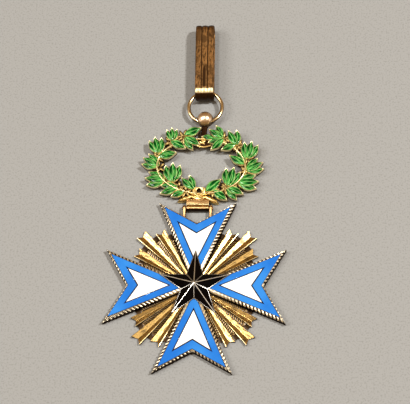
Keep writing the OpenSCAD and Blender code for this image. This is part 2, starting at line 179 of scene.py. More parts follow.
class BadgeRays(bpy.types.PropertyGroup):
    """Sizes of the fans of rays."""

    start: length("Start", "Radius at which the rays start", 4.4)
    middle_tip: length("Middle tip", "Tip radius of a fan's middle ray", 27.0)
    side_tip: length("Side tip", "Tip radius of a fan's side rays", 23.8)
    cut: length("Swallow tail", "How far a ray's tail is cut back", 1.2)
    # The strips run out into the gaps past the rays, their low ends painted dark as shadow.
    strip_end: length("Strip end", "End radius of the narrow strips", 23.3)
    edge_strip_end: length("Edge strip end", "End radius of the strips beside the arms", 21.4)
    strip_tail: length("Strip tail", "Length of the low dark end of a strip", 2.4)
    ray_z: length("Ray height", "Height of a ray's raised edges", 1.3)
    valley: length("Valley", "Depth of a ray's valley at its end", 0.7)
    strip_z: length("Strip height", "Height of the narrow strips", 0.95)
    hatch: length("Hatch pitch", "Distance between the strips' cross ridges", 0.82)
    half: angle("Half angle", "Half angle of a wide ray", 4.25)
    step: angle("Step", "Angle from a fan's middle to its side rays", 13.1)
    fan_half: angle("Fan half angle", "Half angle of a whole fan", 21.33)


class BadgeStar(bpy.types.PropertyGroup):
    """Sizes of the star."""

    radius: length("Radius", "Radius of the star's points", 12.45)
    low: length("Foot", "Height of the star's foot over the back", 2.62)
    edge: length("Edge", "Height of the star's upright edge", 0.35)
    top: length("Top", "Height of the star's centre over the back", 5.2)
    ridge: length("Ridge", "Half the width of the gilt ridges", 0.17)
    valley: length("Valley", "Half the width of the gilt valley lines", 0.09)
    rim: length("Rim", "Half the width of the gilt rim", 0.09)


class BadgeWreath(bpy.types.PropertyGroup):
    """Sizes of the wreath, its hinge and its ball."""

    stem_a: length("Oval half width", "Half the width of the stem's oval", 15.35)
    stem_b: length("Oval half height", "Half the height of the stem's oval", 10.35)
    stem_y: length("Oval centre", "From the hinge pin to the oval's middle", 15.5)
    stem_w: length("Stem width", "Width of the stem", 0.85)
    stalk_w: length("Stalk width", "Width of a leaf's stalk", 0.85)
    back: length("Back", "Depth of the wreath's back under the hinge pin's plane", 0.95)
    stem_top: length("Stem top", "Height of the stems over the hinge pin's plane", 1.3)
    leaf_top: length("Leaf top", "Height of the leaves over the hinge pin's plane", 1.15)
    border: length("Leaf border", "Width of the gilt border round a leaf's enamel", 0.12)
    tip: length("Leaf tip", "Length of a leaf's gilt tip", 0.45)
    ball_r: length("Ball radius", "Radius of the ball", 2.85)
    ball_y: length("Ball distance", "From the hinge pin to the ball's middle", 33.6)
    bore_r: length("Bore radius", "Radius of the ball's bore", 1.2)
    knuckle_r: length("Knuckle radius", "Radius of the wreath's knuckle", 1.0)
    knuckle_len: length("Knuckle length", "Length of the wreath's knuckle", 7.7)
    ear_r: length("Ear radius", "Radius of the round end of an ear", 1.05)
    ear_t: length("Ear thickness", "Thickness of an ear", 1.0)
    ear_gap: length("Ear gap", "Gap between the knuckle and an ear", 0.15)
    pin_r: length("Pin radius", "Radius of the hinge pin", 0.5)
    lean: angle("Lean", "How far the wreath leans to the right", 2.7)
    single: share("Single leaf width", "A single leaf's width as a share of its length", 0.58)
    lobe: share("Lobe width", "A lobe's width as a share of its bunch's length", 0.52)
    taper: share("Leaf taper", "How much narrower a leaf's tip is than its foot", 0.25)
    pinch: share("Foot pinch", "How much a bunch narrows at its foot", 0.35)
    pinch_reach: share("Pinch reach", "Share of a bunch's reach over which it narrows", 0.6)
    overlap: length("Foot overlap", "How far the leaves run back over the stem", 0.8)
    point: share("Leaf point", "How much the leaves narrow towards their tips", 0.4)


class BadgeLoop(bpy.types.PropertyGroup):
    """Sizes of the ring and the ribbon loop."""

    ring_r: length("Ring radius", "Radius of the ring on its wire's middle line", 5.85)
    wire_r: length("Wire radius", "Radius of the ring's wire", 0.65)
    width: length("Loop width", "Width of the loop's strip", 6.5)
    long: length("Loop length", "Overall length of the loop", 30.0)
    depth: length("Loop depth", "Overall depth of the loop", 6.5)
    strip: length("Strip thickness", "Thickness of the strip between its reeds", 0.4)
    reed: length("Reed height", "Height of the reeds on the strip", 0.3)
    shift: length("Shift", "How far the loop hangs to the left of the ring's top", 0.35)
    bend_low: length("Bend offset", "From the ring's top to the middle of the loop's bend", 0.311)
    lean: angle("Lean", "How far the loop leans to the left", 1.1)


class BadgeColours(bpy.types.PropertyGroup):
    """Colours of the metals, the enamels and the stage."""

    gilt: colour("Gilt", "Clean gilt", (0.84, 0.54, 0.17))
    # Pale gilt is also the colour of rubbed wear and of painted highlights.
    pale_gilt: colour("Pale gilt", "Worn gilt on the leaves' edges", (0.93, 0.81, 0.47))
    cast_gilt: colour("Cast gilt", "Gilt of the wreath's stems and gusset", (0.84, 0.61, 0.23))
    milled_gilt: colour("Milled gilt", "Rubbed gilt of the rims' strands", (0.95, 0.84, 0.62))
    hinge_gilt: colour("Hinge gilt", "Browner gilt of the hinge", (0.66, 0.4, 0.17))
    warm_gilt: colour("Warm gilt", "Paler gilt of the ring", (0.73, 0.54, 0.3))
    ball_gilt: colour("Ball gilt", "Browner gilt of the ball", (0.88, 0.65, 0.44))
    silvery: colour("Silvery gilt", "Rubbed metal of the star's lines", (0.86, 0.82, 0.74))
    # Shade is also the colour of painted shade on walls, undersides and hollows.
    shade: colour("Shade", "Brown in the grooves of the gilt", (0.022, 0.009, 0.004))
    old_gilt: colour("Old gilt", "Tarnished gilt of the ribbon loop", (0.5, 0.26, 0.09))
    blue: colour("Blue", "Blue enamel", (0.012, 0.135, 0.5))
    blue_light: colour("Light blue", "Thin blue enamel", (0.035, 0.23, 0.62))
    white: colour("White", "White enamel", (0.88, 0.88, 0.85))
    green: colour("Green", "Green enamel", (0.0, 0.035, 0.004))
    green_light: colour("Light green", "Thin green enamel over gilt", (0.006, 0.28, 0.025))
    green_edge: colour("Green edge", "Thinnest green enamel at a leaf's edge", (0.33, 0.62, 0.2))
    black: colour("Black", "Black enamel", (0.0012, 0.001, 0.001))
    floor: colour("Floor", "The plain floor", (0.271, 0.271, 0.26))
    sky: colour("Sky", "The even light all round", (0.63, 0.38, 0.13))
    backdrop: colour("Backdrop", "What the camera sees past the floor", (0.85, 0.81, 0.73))


class BadgeStage(bpy.types.PropertyGroup):
    """Place of the camera and strength of the lights."""

    camera_x: length("Camera X", "Camera's place along X", 43.15)
    camera_z: length("Camera Z", "Camera's height", 466.87)
    camera_back: length("Camera distance", "How far the camera stands back along -Y", 183.4)
    aim_x: length("Aim X", "The floor's point at which the camera looks, along X", 2.3034)
    aim_y: length("Aim Y", "The floor's point at which the camera looks, along Y", 31.7691)
    roll: angle("Roll", "How far the camera is turned about its line of sight", -9.80185)
    lens: number("Lens", "Focal length for a sensor 36 mm wide", 131.7)
    panel: number("Panel light", "Power of the soft panel in front", 0.45, "POWER")
    lamp: number("Lamps", "Power of the left lamp, and the measure of the right one", 5.0, "POWER")
    card: number("Cards", "Power of each card at the sides", 1.4, "POWER")
    sky: number("Sky", "Strength of the even light all round", 0.46)


GROUPS = {
    "badge_cross": BadgeCross,
    "badge_rays": BadgeRays,
    "badge_star": BadgeStar,
    "badge_wreath": BadgeWreath,
    "badge_loop": BadgeLoop,
    "badge_colours": BadgeColours,
    "badge_stage": BadgeStage,
}


def settings_of(group):
    """The properties of a panel group that a user may change."""
    return [prop for prop in group.bl_rna.properties if prop.identifier not in {"rna_type", "name"}]


def in_mm(group):
    """A panel group's values by name, with its lengths in millimetres."""
    values = {}
    for prop in settings_of(group):
        value = getattr(group, prop.identifier)
        values[prop.identifier] = value / MM if prop.unit == "LENGTH" else value
    return SimpleNamespace(**values)


# Shapes


def slide(x, y, z=0.0):
    """A matrix that moves."""
    return Matrix.Translation((x, y, z))


def turned(angle, axis="Z"):
    """A matrix that turns about an axis."""
    return Matrix.Rotation(angle, 4, axis)


def polar(radius, turn, z=0.0):
    """A point at a radius and an angle."""
    return Vector((radius * math.cos(turn), radius * math.sin(turn), z))


def wear_grime_light_layer(bm):
    """The attribute that says how dark a point is painted, from 0 to 1: grime and painted shade.

    Below 0 it says how pale the point is painted, down to -1: rubbed wear and painted highlights.
    """
    return bm.verts.layers.float.get("groove") or bm.verts.layers.float.new("groove")


def new_part():
    """An empty bmesh that has its layer of grime, wear and painted light, which would unsettle
    vertices if added later.
    """
    bm = bmesh.new()
    wear_grime_light_layer(bm)
    return bm


def set_grime_and_painted_light(bm, verts, depth):
    """Sets the value of grime, wear and painted light that these vertices carry."""
    groove = wear_grime_light_layer(bm)
    for vert in verts:
        vert[groove] = depth


def fresh_verts(made):
    """The vertices among what an operator made."""
    return {item for item in made["geom"] if isinstance(item, bmesh.types.BMVert)}


def loft(bm, rings, capped=True):
    """A skin through rings of equally many points, extruded from one ring to the next."""
    verts = bmesh.ops.create_circle(bm, segments=len(rings[0]), radius=1.0)["verts"]
    verts.sort(key=lambda vert: math.atan2(vert.co.y, vert.co.x))
    for vert, point in zip(verts, rings[0]):
        vert.co = point
    levels = [verts]
    for ring in rings[1:]:
        last = levels[-1]
        edges = [bm.edges.get((last[i - 1], last[i])) for i in range(len(last))]
        fresh = fresh_verts(bmesh.ops.extrude_edge_only(bm, edges=edges))
        level = []
        for vert, point in zip(last, ring):
            around = [edge.other_vert(vert) for edge in vert.link_edges]
            level.append(next(other for other in around if other in fresh))
            level[-1].co = point
        levels.append(level)
    if capped:
        bm.faces.new(levels[0])
        bm.faces.new(levels[-1])
    return levels


def station(place, along, wide=1.0, high=1.0):
    """A matrix that stands a flat section across a path, its X to the side and its Y up."""
    along = along.normalized()
    side = UP.cross(along).normalized()
    turn = Matrix((side, along.cross(side), along)).transposed().to_4x4()
    return Matrix.Translation(place) @ turn @ Matrix.Diagonal((wide, high, 1.0, 1.0))


def along_path(points, wides, highs):
    """Stations on a path, each one facing the way its neighbours lie."""
    last = len(points) - 1
    ways = [points[min(k + 1, last)] - points[max(k - 1, 0)] for k in range(last + 1)]
    return [station(*row) for row in zip(points, ways, wides, highs)]


def sweep(bm, section, stations, capped=True):
    """A section of (x, y) points carried through stations. A closed path ends on its first one."""
    return loft(bm, [[at @ Vector((x, y, 0)) for x, y in section] for at in stations], capped)


def round_section(count):
    """Points of a circle of radius 1."""
    return [tuple(polar(1.0, math.tau * k / count).to_2d()) for k in range(count)]


def lathe(profile, matrix, steps=32):
    """A turned piece: (radius, height) points spun about Z, then put in place."""
    bm = new_part()
    verts = [bm.verts.new((r, 0, z)) for r, z in profile]
    edges = [bm.edges.new(pair) for pair in zip(verts, verts[1:])]
    bmesh.ops.spin(
        bm, geom=verts + edges, axis=UP, cent=(0, 0, 0), angle=math.tau, steps=steps, use_merge=True
    )
    bmesh.ops.remove_doubles(bm, verts=bm.verts[:], dist=1e-4)
    bmesh.ops.transform(bm, matrix=matrix, verts=bm.verts[:])
    return bm


def join(bm, part, matrix=None):
    """Adds a finished part to a bmesh, and frees the part."""
    if matrix is not None:
        bmesh.ops.transform(part, matrix=matrix, verts=part.verts[:])
    mesh = bpy.data.meshes.new("part")
    part.to_mesh(mesh)
    part.free()
    bm.from_mesh(mesh)
    bpy.data.meshes.remove(mesh)


def soften(bm, width, sharper, segments=2):
    """Bevels every edge that is sharper than an angle in degrees."""
    limit = math.radians(sharper)
    edges = [e for e in bm.edges if e.is_manifold and e.calc_face_angle(0.0) > limit]
    bmesh.ops.bevel(
        bm, geom=edges, offset=width, offset_type="OFFSET", segments=segments, profile=0.5,
        affect="EDGES", clamp_overlap=True, material=-1,
    )


# The wall under a relief: how far down each step goes, as a share of its height, and its painted
# shade.
WALL_STEPS = [(0.3, 1.0), (0.94, 1.0), (1.0, 0.2)]


def relief(bm, steps, place, floor):
    """A block whose top is a grid carried to place(u, v), u from 0 to 1 and v from -1 to 1."""
    groove = wear_grime_light_layer(bm)
    grid = bmesh.ops.create_grid(bm, x_segments=steps[0], y_segments=steps[1], size=0.5)["verts"]
    for vert in grid:
        vert.co, vert[groove] = place(vert.co.x + 0.5, 2.0 * vert.co.y)
    rim = [edge for edge in {e for vert in grid for e in vert.link_edges} if edge.is_boundary]
    for drop, grime_and_shade in WALL_STEPS:
        made = bmesh.ops.extrude_edge_only(bm, edges=rim)
        foot = fresh_verts(made)
        for vert in foot:
            vert.co.z += (floor - vert.co.z) * drop
        set_grime_and_painted_light(bm, foot, grime_and_shade)
        edges = [item for item in made["geom"] if isinstance(item, bmesh.types.BMEdge)]
        rim = [edge for edge in edges if set(edge.verts) <= foot]
    bmesh.ops.contextual_create(bm, geom=rim)


def paint_wall_shade(bm, low, high):
    """Paints shade on a part's walls below one height, clean above another, and marks its back as
    worn.
    """
    back_edge, back_grime = 0.07, 0.2
    groove = wear_grime_light_layer(bm)
    back = min(vert.co.z for vert in bm.verts) + back_edge
    for vert in bm.verts:
        grime_and_shade = min(1.0, (high - vert.co.z) / (high - low)) if vert.co.z > back else back_grime
        vert[groove] = max(vert[groove], grime_and_shade)


def make_piece(name, bm, material, body, nodes, sharp=35.0, flat=False):
    """Turns a bmesh in millimetres into a piece that rides on a body and stands for CAD nodes."""
    wear_grime_light_layer(bm)
    bmesh.ops.remove_doubles(bm, verts=bm.verts[:], dist=1e-4)
    bmesh.ops.recalc_face_normals(bm, faces=bm.faces[:])
    bmesh.ops.scale(bm, vec=(MM, MM, MM), verts=bm.verts[:])
    mesh = bpy.data.meshes.new(name)
    bm.to_mesh(mesh)
    bm.free()
    mesh.shade_smooth()
    mesh.set_sharp_from_angle(angle=math.radians(sharp))
    mesh.materials.append(material)
    piece = bpy.data.objects.new(name, mesh)
    bpy.context.scene.collection.objects.link(piece)
    if flat:
        piece.modifiers.new("flat faces", "WEIGHTED_NORMAL").keep_sharp = True
    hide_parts(*nodes)
    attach(piece, body)


def make_gilt(name, bm, finish, body, node, sharp=35.0):
    """Turns a bmesh into a gilt piece that stands for one CAD node."""
    make_piece(name, bm, gilt_metal(finish), body, [node], sharp)


# Arms. A dart is the outline of an arm and of its white field: half its width at its two
# corners, and how far the corners, the notch between them and the point lie from the centre.

Dart = namedtuple("Dart", "half corner notch point")
# The milled slope above an arm's upright edge: shares of its width and of its height.
MILLED_SLOPE = [(0.3, 0.55), (0.65, 0.88), (1.0, 1.0)]


def drawn_in(dart, side, end):
    """A dart drawn in by these widths on its sides and on its notched end."""
    slope = dart.half / (dart.corner - dart.point)
    climb = (dart.corner - dart.notch) / dart.half
    point = dart.point + side / math.sin(math.atan(slope))
    notch = dart.notch - end / math.cos(math.atan(climb))
    half = (notch - point) * slope / (1 - slope * climb)
    return Dart(half, point + half / slope, notch, point)


def dart_ring(dart, z):
    """A dart's corners at a height: its point, right corner, notch and left corner."""
    plan = [(0, dart.point), (dart.half, dart.corner), (0, dart.notch), (-dart.half, dart.corner)]
    return [Vector((x, y, z)) for x, y in plan]


def milled_arm(bm, c):
    """One arm: flat back, milled wall and slope, polished land and the enamel's cell."""
    arm = Dart(c.tip_half, c.tip_reach, c.notch_reach, 0.0)
    side, end = c.rim_side - c.land, c.rim_end - c.land
    climb = c.face_z - c.edge_h
    chamfer = 0.12
    rings = [dart_ring(drawn_in(arm, chamfer, chamfer), 0.0)]
    rings += [dart_ring(arm, z) for z in (chamfer, 0.75, 1.4, c.edge_h)]
    for wide, high in MILLED_SLOPE:
        rings.append(dart_ring(drawn_in(arm, side * wide, end * wide), c.edge_h + climb * high))
    milled = slice(1, len(rings))
    land = drawn_in(arm, c.rim_side, c.rim_end)
    rings += [dart_ring(land, c.face_z), dart_ring(land, c.face_z - c.cell_depth)]
    levels = loft(bm, rings)
    set_grime_and_painted_light(bm, levels[-1] + levels[-2], 1.0)
    bm.verts.index_update()
    levels = [[vert.index for vert in level] for level in levels[milled]]
    for k in range(4):
        mill_side(bm, [(level[k], level[(k + 1) % 4]) for level in levels], c)


def mill_side(bm, pairs, c):
    """Cuts slanting strands into one side of an arm. pairs numbers each level's two corners."""
    samples, slant, end_fade, foot_fade = 10, 0.9, 0.7, 0.5
    groove = wear_grime_light_layer(bm)
    bm.verts.ensure_lookup_table()
    start = bm.verts[pairs[0][0]].co.copy()
    run = bm.verts[pairs[0][1]].co - start
    long = run.length
    run.normalize()
    outward = Vector((run.y, -run.x, 0))
    edges = [bm.edges.get((bm.verts[a], bm.verts[b])) for a, b in pairs]
    before = len(bm.verts)
    cuts = round(long / c.pitch * samples)
    bmesh.ops.subdivide_edges(bm, edges=edges, cuts=cuts, use_grid_fill=True)
    bm.verts.ensure_lookup_table()
    for vert in bm.verts[before:]:
        offset = vert.co - start
        along = offset.dot(run)
        on_wall = vert.co.z <= c.edge_h + 1e-6
        up = vert.co.z - c.edge_h if on_wall else -offset.dot(outward)
        strand = 0.5 - 0.5 * math.cos(math.tau * (along + slant * up) / c.pitch)
        ends = max(0.0, min(1.0, along / end_fade, (long - along) / end_fade))
        crisp = (vert.co.to_2d().length - c.rubbed_r) / (c.crisp_r - c.rubbed_r)
        kept = c.rubbed + (1 - c.rubbed) * min(1.0, max(0.0, crisp))
        depth = (1.0 - strand) * ends * kept
        normal = outward if on_wall else outward * 0.5 + UP * 0.86
        vert.co -= normal * (c.milling * depth * min(1.0, vert.co.z / foot_fade))
        vert[groove] = depth


def cell_wall(bm, c):
    """The thin wall between the blue and the white enamel of one arm, painted dark as shade."""
    white = Dart(c.white_half, c.white_reach, c.white_notch, c.white_point)
    half, grime_and_shade = c.wall / 2, 0.62
    low, shoulder, crown = c.face_z - c.cell_depth, c.face_z - 0.02, c.face_z + 0.04
    steps = [(-half, low), (-half, shoulder), (-half * 0.4, crown)]
    steps += [(half * 0.4, crown), (half, shoulder), (half, low + 0.02)]
    for level in loft(bm, [dart_ring(drawn_in(white, inset, inset), z) for inset, z in steps]):
        set_grime_and_painted_light(bm, level, grime_and_shade)


class BADGE_OT_arms(bpy.types.Operator):
    """Builds the four arms with their milled rims, the cell walls and the solid centre"""

    bl_idname = "badge.arms"
    bl_label = "Arms"

    def execute(self, context):
        c = in_mm(context.scene.badge_cross)
        bm = new_part()
        milled_arm(bm, c)
        cell_wall(bm, c)
        bmesh.ops.recalc_face_normals(bm, faces=bm.faces[:])
        arm = bm.verts[:] + bm.edges[:] + bm.faces[:]
        bmesh.ops.spin(
            bm, geom=arm, axis=UP, cent=(0, 0, 0), angle=math.tau * 3 / 4, steps=3,
            use_duplicate=True,
        )
        # Painted shade on the arms' walls: dark low down, clean near the face.
        shaded_z, clean_z = 0.8, 2.35
        low, high = 0.06, c.face_z - c.cell_depth / 2
        bmesh.ops.create_cone(
            bm, cap_ends=True, segments=64, radius1=c.boss_r, radius2=c.boss_r, depth=high - low,
            matrix=slide(0, 0, (low + high) / 2),
        )
        paint_wall_shade(bm, shaded_z, clean_z)
        make_gilt("arm_metal", bm, "gilt_milled", "cross", "cross", sharp=50)
        return {"FINISHED"}


def crowned_copy(node, steps):
    """A copy of a CAD enamel whose top is drawn in and raised in steps of (width, rise)."""
    bm = bmesh.new()
    bm.from_mesh(frame["nodes"][node].data)
    bmesh.ops.scale(bm, vec=(1 / MM, 1 / MM, 1 / MM), verts=bm.verts[:])
    bmesh.ops.remove_doubles(bm, verts=bm.verts[:], dist=1e-3)
    bmesh.ops.dissolve_limit(bm, angle_limit=math.radians(1), verts=bm.verts[:], edges=bm.edges[:])
    for width, rise in steps:
        low = max(vert.co.z for vert in bm.verts) - 0.4
        top = [f for f in bm.faces if f.normal.z > 0.5 and f.calc_center_median().z > low]
        bmesh.ops.inset_region(
            bm, faces=top, thickness=width, depth=rise, use_even_offset=True, use_boundary=True
        )
    return bm


class BADGE_OT_fields(bpy.types.Operator):
    """Fires the blue borders and the white fields of the arms"""

    bl_idname = "badge.fields"
    bl_label = "Blue and white enamel"

    def execute(self, context):
        for name in ("blue_enamel", "white_enamel"):
            fired = enamel(name)
            for i in range(1, 5):
                node = f"{name}_{i}"
                bm = crowned_copy(node, [(0.05, 0.035), (0.12, 0.012)])
                make_piece(f"{name}_field_{i}", bm, fired, "cross", [node], 60, flat=True)
        return {"FINISHED"}


# Rays


def wide_ray(bm, r, tip, middle):
    """A wide ray: a valley between two raised lips, ending in a swallow tail."""
    lip, lip_drop, slope_end, slope = 0.95, 0.07, 0.9, 0.85
    rubbed, grime_and_shade, grime_fade = -0.8, 0.5, 3

    def place(u, v):
        across = abs(v)
        radius = r.start + u * (tip - r.cut * (1 - across) - r.start)
        sunk = r.valley * radius / tip * min(1.0, max(0.0, (slope_end - across) / slope))
        z = r.ray_z - sunk - (lip_drop if across > lip else 0.0)
        groove = rubbed if across > lip else max(0.0, grime_and_shade - grime_fade * across)
        return polar(radius, middle + v * r.half, z), groove

    relief(bm, (12, 20), place, 0.0)


def narrow_strip(bm, r, first, last, end):
    """A narrow strip of close cross ridges between two wide rays, with a low end painted dark as
    shadow.
    """
    samples, slant, tail_slope = 6, 0.35, 0.7
    round_drop, hatch_drop, tail_drop, grime_and_shade = 0.1, 0.2, 0.4, 0.55
    start, foot_z = r.start + 0.3, 0.05

    def place(u, v):
        radius = start + u * (end - start)
        ridge = 0.5 - 0.5 * math.cos(math.tau * (radius + slant * v) / r.hatch)
        # tail paints the low end dark as the shadow in the gaps; v ** 4 paints the edges dark as
        # shade.
        tail = min(1.0, max(0.0, (radius - end + r.strip_tail) / tail_slope))
        depth = (1 - ridge) * (1 - tail)
        z = r.strip_z - round_drop * v * v - hatch_drop * depth - tail_drop * tail
        turn = first + (v + 1) / 2 * (last - first)
        return polar(radius, turn, z), max(grime_and_shade, depth, v ** 4, tail)

    relief(bm, (round((end - start) / r.hatch * samples), 6), place, foot_z)


class BADGE_OT_rays(bpy.types.Operator):
    """Builds the four fans of swallow-tailed rays and hatched strips"""

    bl_idname = "badge.rays"
    bl_label = "Rays"

    def execute(self, context):
        r = in_mm(context.scene.badge_rays)
        bite = math.radians(0.4)
        inner = (r.half - bite, r.step - r.half + bite, r.strip_end)
        outer = (r.step + r.half - bite, r.fan_half, r.edge_strip_end)
        for i in range(1, 5):
            middle = math.radians(90 * i - 45)
            bm = new_part()
            for turn, tip in ((-r.step, r.side_tip), (0.0, r.middle_tip), (r.step, r.side_tip)):
                wide_ray(bm, r, tip, middle + turn)
            for side in (-1, 1):
                for near, far, end in (inner, outer):
                    narrow_strip(bm, r, *sorted((middle + side * near, middle + side * far)), end)
            soften(bm, 0.05, sharper=60, segments=1)
            make_gilt(f"rays_{i}", bm, "gilt_rays", "cross", f"ray_fan_{i}", sharp=28)
        return {"FINISHED"}


# Star


def star_corner(s, k, z):
    """A corner of the star's outline: even ones are points, odd ones lie between them."""
    inner = math.sin(math.radians(18)) / math.sin(math.radians(54))
    return polar(s.radius if k % 2 == 0 else s.radius * inner, math.radians(90 + 36 * k), z)


def incentre(a, b, c):
    """Centre and radius of a triangle's inner circle."""
    la, lb, lc = (b - c).length, (c - a).length, (a - b).length
    total = la + lb + lc
    return (a * la + b * lb + c * lc) / total, (b - a).cross(c - a).length / total


def facet(bm, corners, steps):
    """A three-cornered crowned plate: steps of (inset, height along the facet's normal)."""
    a, b, c = corners
    normal = (b - a).cross(c - a).normalized()
    if normal.z < 0:
        normal = -normal
    middle, radius = incentre(a, b, c)
    rings = []
    for inset, height in steps:
        top, size = middle + normal * height, 1 - inset / radius
        rings.append([top + (corner - middle) * size for corner in corners])
    loft(bm, rings)


def bar(bm, start, finish, radius, thin, grime_and_shade):
    """A round bar between two points that gets thinner towards its end."""
    along = finish - start
    stations = []
    for t in (0.0, 0.5, 1.0):
        size = radius + (thin - radius) * t
        stations.append(station(start + along * t, along, size, size))
    for level in sweep(bm, round_section(10), stations):
        set_grime_and_painted_light(bm, level, grime_and_shade)


def star_metal(s):
    """The star's gilt body, with bars along its ridges, its valleys and its rim."""
    rim_z, apex = s.low + s.edge, Vector((0, 0, s.top))
    under_rim, under_slope = 0.1, UP * 0.04
    metal = new_part()
    wall = [[star_corner(s, k, z) for k in range(10)] for z in (s.low, rim_z - 0.08)]
    peak = apex - UP * 0.12
    slopes = [[corner.lerp(peak, t) - under_slope for corner in wall[1]] for t in (0.03, 0.97)]
    loft(metal, wall + slopes)
    for k in range(10):
        corner, following = (star_corner(s, n, rim_z) for n in (k, k + 1))
        wide, sunk, grime_and_shade = (s.ridge, 0.08, 0.0) if k % 2 == 0 else (s.valley, 0.12, 0.5)
        end = corner.lerp(apex, 0.015) - UP * under_rim
        bar(metal, apex - UP * sunk, end, wide, wide * 0.75, grime_and_shade)
        bar(metal, corner - UP * under_rim, following - UP * under_rim, s.rim, s.rim, 1.0)
    knob = slide(0, 0, s.top - 0.2)
    bmesh.ops.create_icosphere(metal, subdivisions=3, radius=0.3, matrix=knob)
    return metal


def star_facets(s):
    """The star's ten crowned enamel facets."""
    rim_z, apex = s.low + s.edge, Vector((0, 0, s.top))
    black = new_part()
    steps = [(0.11, -0.24), (0.11, -0.07), (0.16, -0.02), (0.3, 0.02), (0.6, 0.045)]
    for k in range(10):
        facet(black, [apex, star_corner(s, k, rim_z), star_corner(s, k + 1, rim_z)], steps)
    return black


class BADGE_OT_star(bpy.types.Operator):
    """Builds the gilt star and its ten black enamel facets"""

    bl_idname = "badge.star"
    bl_label = "Star"

    def execute(self, context):
        s = in_mm(context.scene.badge_star)
        make_gilt("star_metal", star_metal(s), "gilt_lines", "cross", "star")
        fired = enamel("black_enamel")
        nodes = ["star_enamel"]
        make_piece("star_facets", star_facets(s), fired, "cross", nodes, sharp=80)
        return {"FINISHED"}


# Hinge


def in_wreath(w):
    """The matrix from the wreath's flat plan, centred on the hinge pin, to the badge's frame."""
    climb = math.asin((w.ball_r - HINGE.z) / w.ball_y)
    return Matrix.Translation(HINGE) @ turned(climb, "X") @ turned(-w.lean)


def ear_outline(w, x, inset):
    """An ear's outline in the plane at x: a round end on the pin, and a root in the arm."""
    root, step = 3.6, 0.3
    radius = w.ear_r - inset
    points = [polar(radius, math.radians(-90 + 15 * k)).to_2d() for k in range(15)]
    points += [(-root, w.ear_r - step - inset), (-root, -radius)]
    return [Vector((x, HINGE.y + y, HINGE.z + z)) for y, z in points]


def hinge_ears(w, near, far):
    """The two ears, with painted shade: darkest at their sides, faintest along their middle."""
    chamfer, dark = 0.08, 0.3
    stops = [(near, chamfer, 0.7), (near + chamfer, 0.0, 0.6), (near + dark, 0.0, 0.36)]
    stops += [(far - dark, 0.0, 0.36), (far - chamfer, 0.0, 0.6), (far, chamfer, 0.7)]
    ears = new_part()
    for side in (-1, 1):
        levels = loft(ears, [ear_outline(w, side * x, inset) for x, inset, _ in stops])
        for level, (_, _, grime_and_shade) in zip(levels, stops):
            set_grime_and_painted_light(ears, level, grime_and_shade)
    return ears


def rivet(w, far):
    """The hinge pin with a low domed head at each end."""
    head, high, gap = 1.5 * w.pin_r, 0.36, 0.02
    half = [(w.pin_r, far), (head, far + gap)]
    half += [(head * math.cos(a), far + gap + high * math.sin(a)) for a in (0.4, 0.8, 1.2)]
    half += [(0, far + high + gap)]
    whole = [(r, -z) for r, z in reversed(half)] + half
    return lathe(whole, Matrix.Translation(HINGE) @ turned(math.pi / 2, "Y"))


def knuckle(w):
    """The wreath's barrel round the pin, with painted shade on its lower side."""
    half = w.knuckle_len / 2
    profile = [(w.pin_r + 0.07, -half), (w.knuckle_r - 0.1, -half), (w.knuckle_r, -half + 0.1)]
    profile += [(radius, -z) for radius, z in reversed(profile)]
    barrel = lathe(profile + profile[:1], turned(math.pi / 2, "Y"), steps=48)
    groove = wear_grime_light_layer(barrel)
    for vert in barrel.verts:
        grime_and_shade = 0.45 - 1.2 * vert.co.y - 0.5 * vert.co.z
        vert[groove] = min(0.9, max(0.0, grime_and_shade))
    return barrel


def foot_block(w):
    """The block behind the knuckle: a step up, with a sloping front that catches the light."""
    block = new_part()
    half = w.knuckle_len / 2
    profile = [(0.35, -w.back), (3.2, -w.back), (3.2, 0.78), (2.4, 0.8), (1.6, 0.86)]
    profile += [(0.95, 0.5), (0.35, 0.4)]
    loft(block, [[Vector((x, y, z)) for y, z in profile] for x in (-half, half)])
    bmesh.ops.recalc_face_normals(block, faces=block.faces[:])
    soften(block, 0.09, sharper=30)
    # Painted shade: the block's faces below 0.6 mm are dark, its top stays clean.
    groove = wear_grime_light_layer(block)
    for vert in block.verts:
        vert[groove] = 0.3 if vert.co.z > 0.6 else 0.75
    return block


def moulding(w):
    """The ledge along the barrel, painted pale as a highlight, and a fine roll at the block's far
    end.
    """
    rolls = new_part()
    half = w.knuckle_len / 2
    for y, z, radius, groove in ((1.12, 0.92, 0.32, -1.0), (2.7, 0.84, 0.17, 0.0)):
        ends = [Vector((-half, y, z)), Vector((half, y, z))]
        stations = [station(end, Vector((1, 0, 0)), radius, radius) for end in ends]
        for level in sweep(rolls, round_section(12), stations):
            set_grime_and_painted_light(rolls, level, groove)
    return rolls


class BADGE_OT_hinge(bpy.types.Operator):
    """Builds the hinge: ears and riveted pin on the cross, knuckle and foot block on the wreath"""

    bl_idname = "badge.hinge"
    bl_label = "Hinge"

    def execute(self, context):
        w = in_mm(context.scene.badge_wreath)
        near = w.knuckle_len / 2 + w.ear_gap
        far = near + w.ear_t
        make_gilt("hinge_ears", hinge_ears(w, near, far), "gilt_hinge", "cross", "cross")
        make_gilt("hinge_rivet", rivet(w, far), "gilt_hinge", "cross", "hinge_pin")
        foot = knuckle(w)
        join(foot, foot_block(w))
        join(foot, moulding(w))
        bmesh.ops.transform(foot, matrix=in_wreath(w) @ turned(w.lean), verts=foot.verts[:])
        make_gilt("foot_block", foot, "gilt_hinge", "wreath", "wreath")
        return {"FINISHED"}


# Wreath


def stem_point(w, turn, z=0.0):
    """A point of the stem's oval."""
    return Vector((w.stem_a * math.cos(turn), w.stem_y + w.stem_b * math.sin(turn), z))


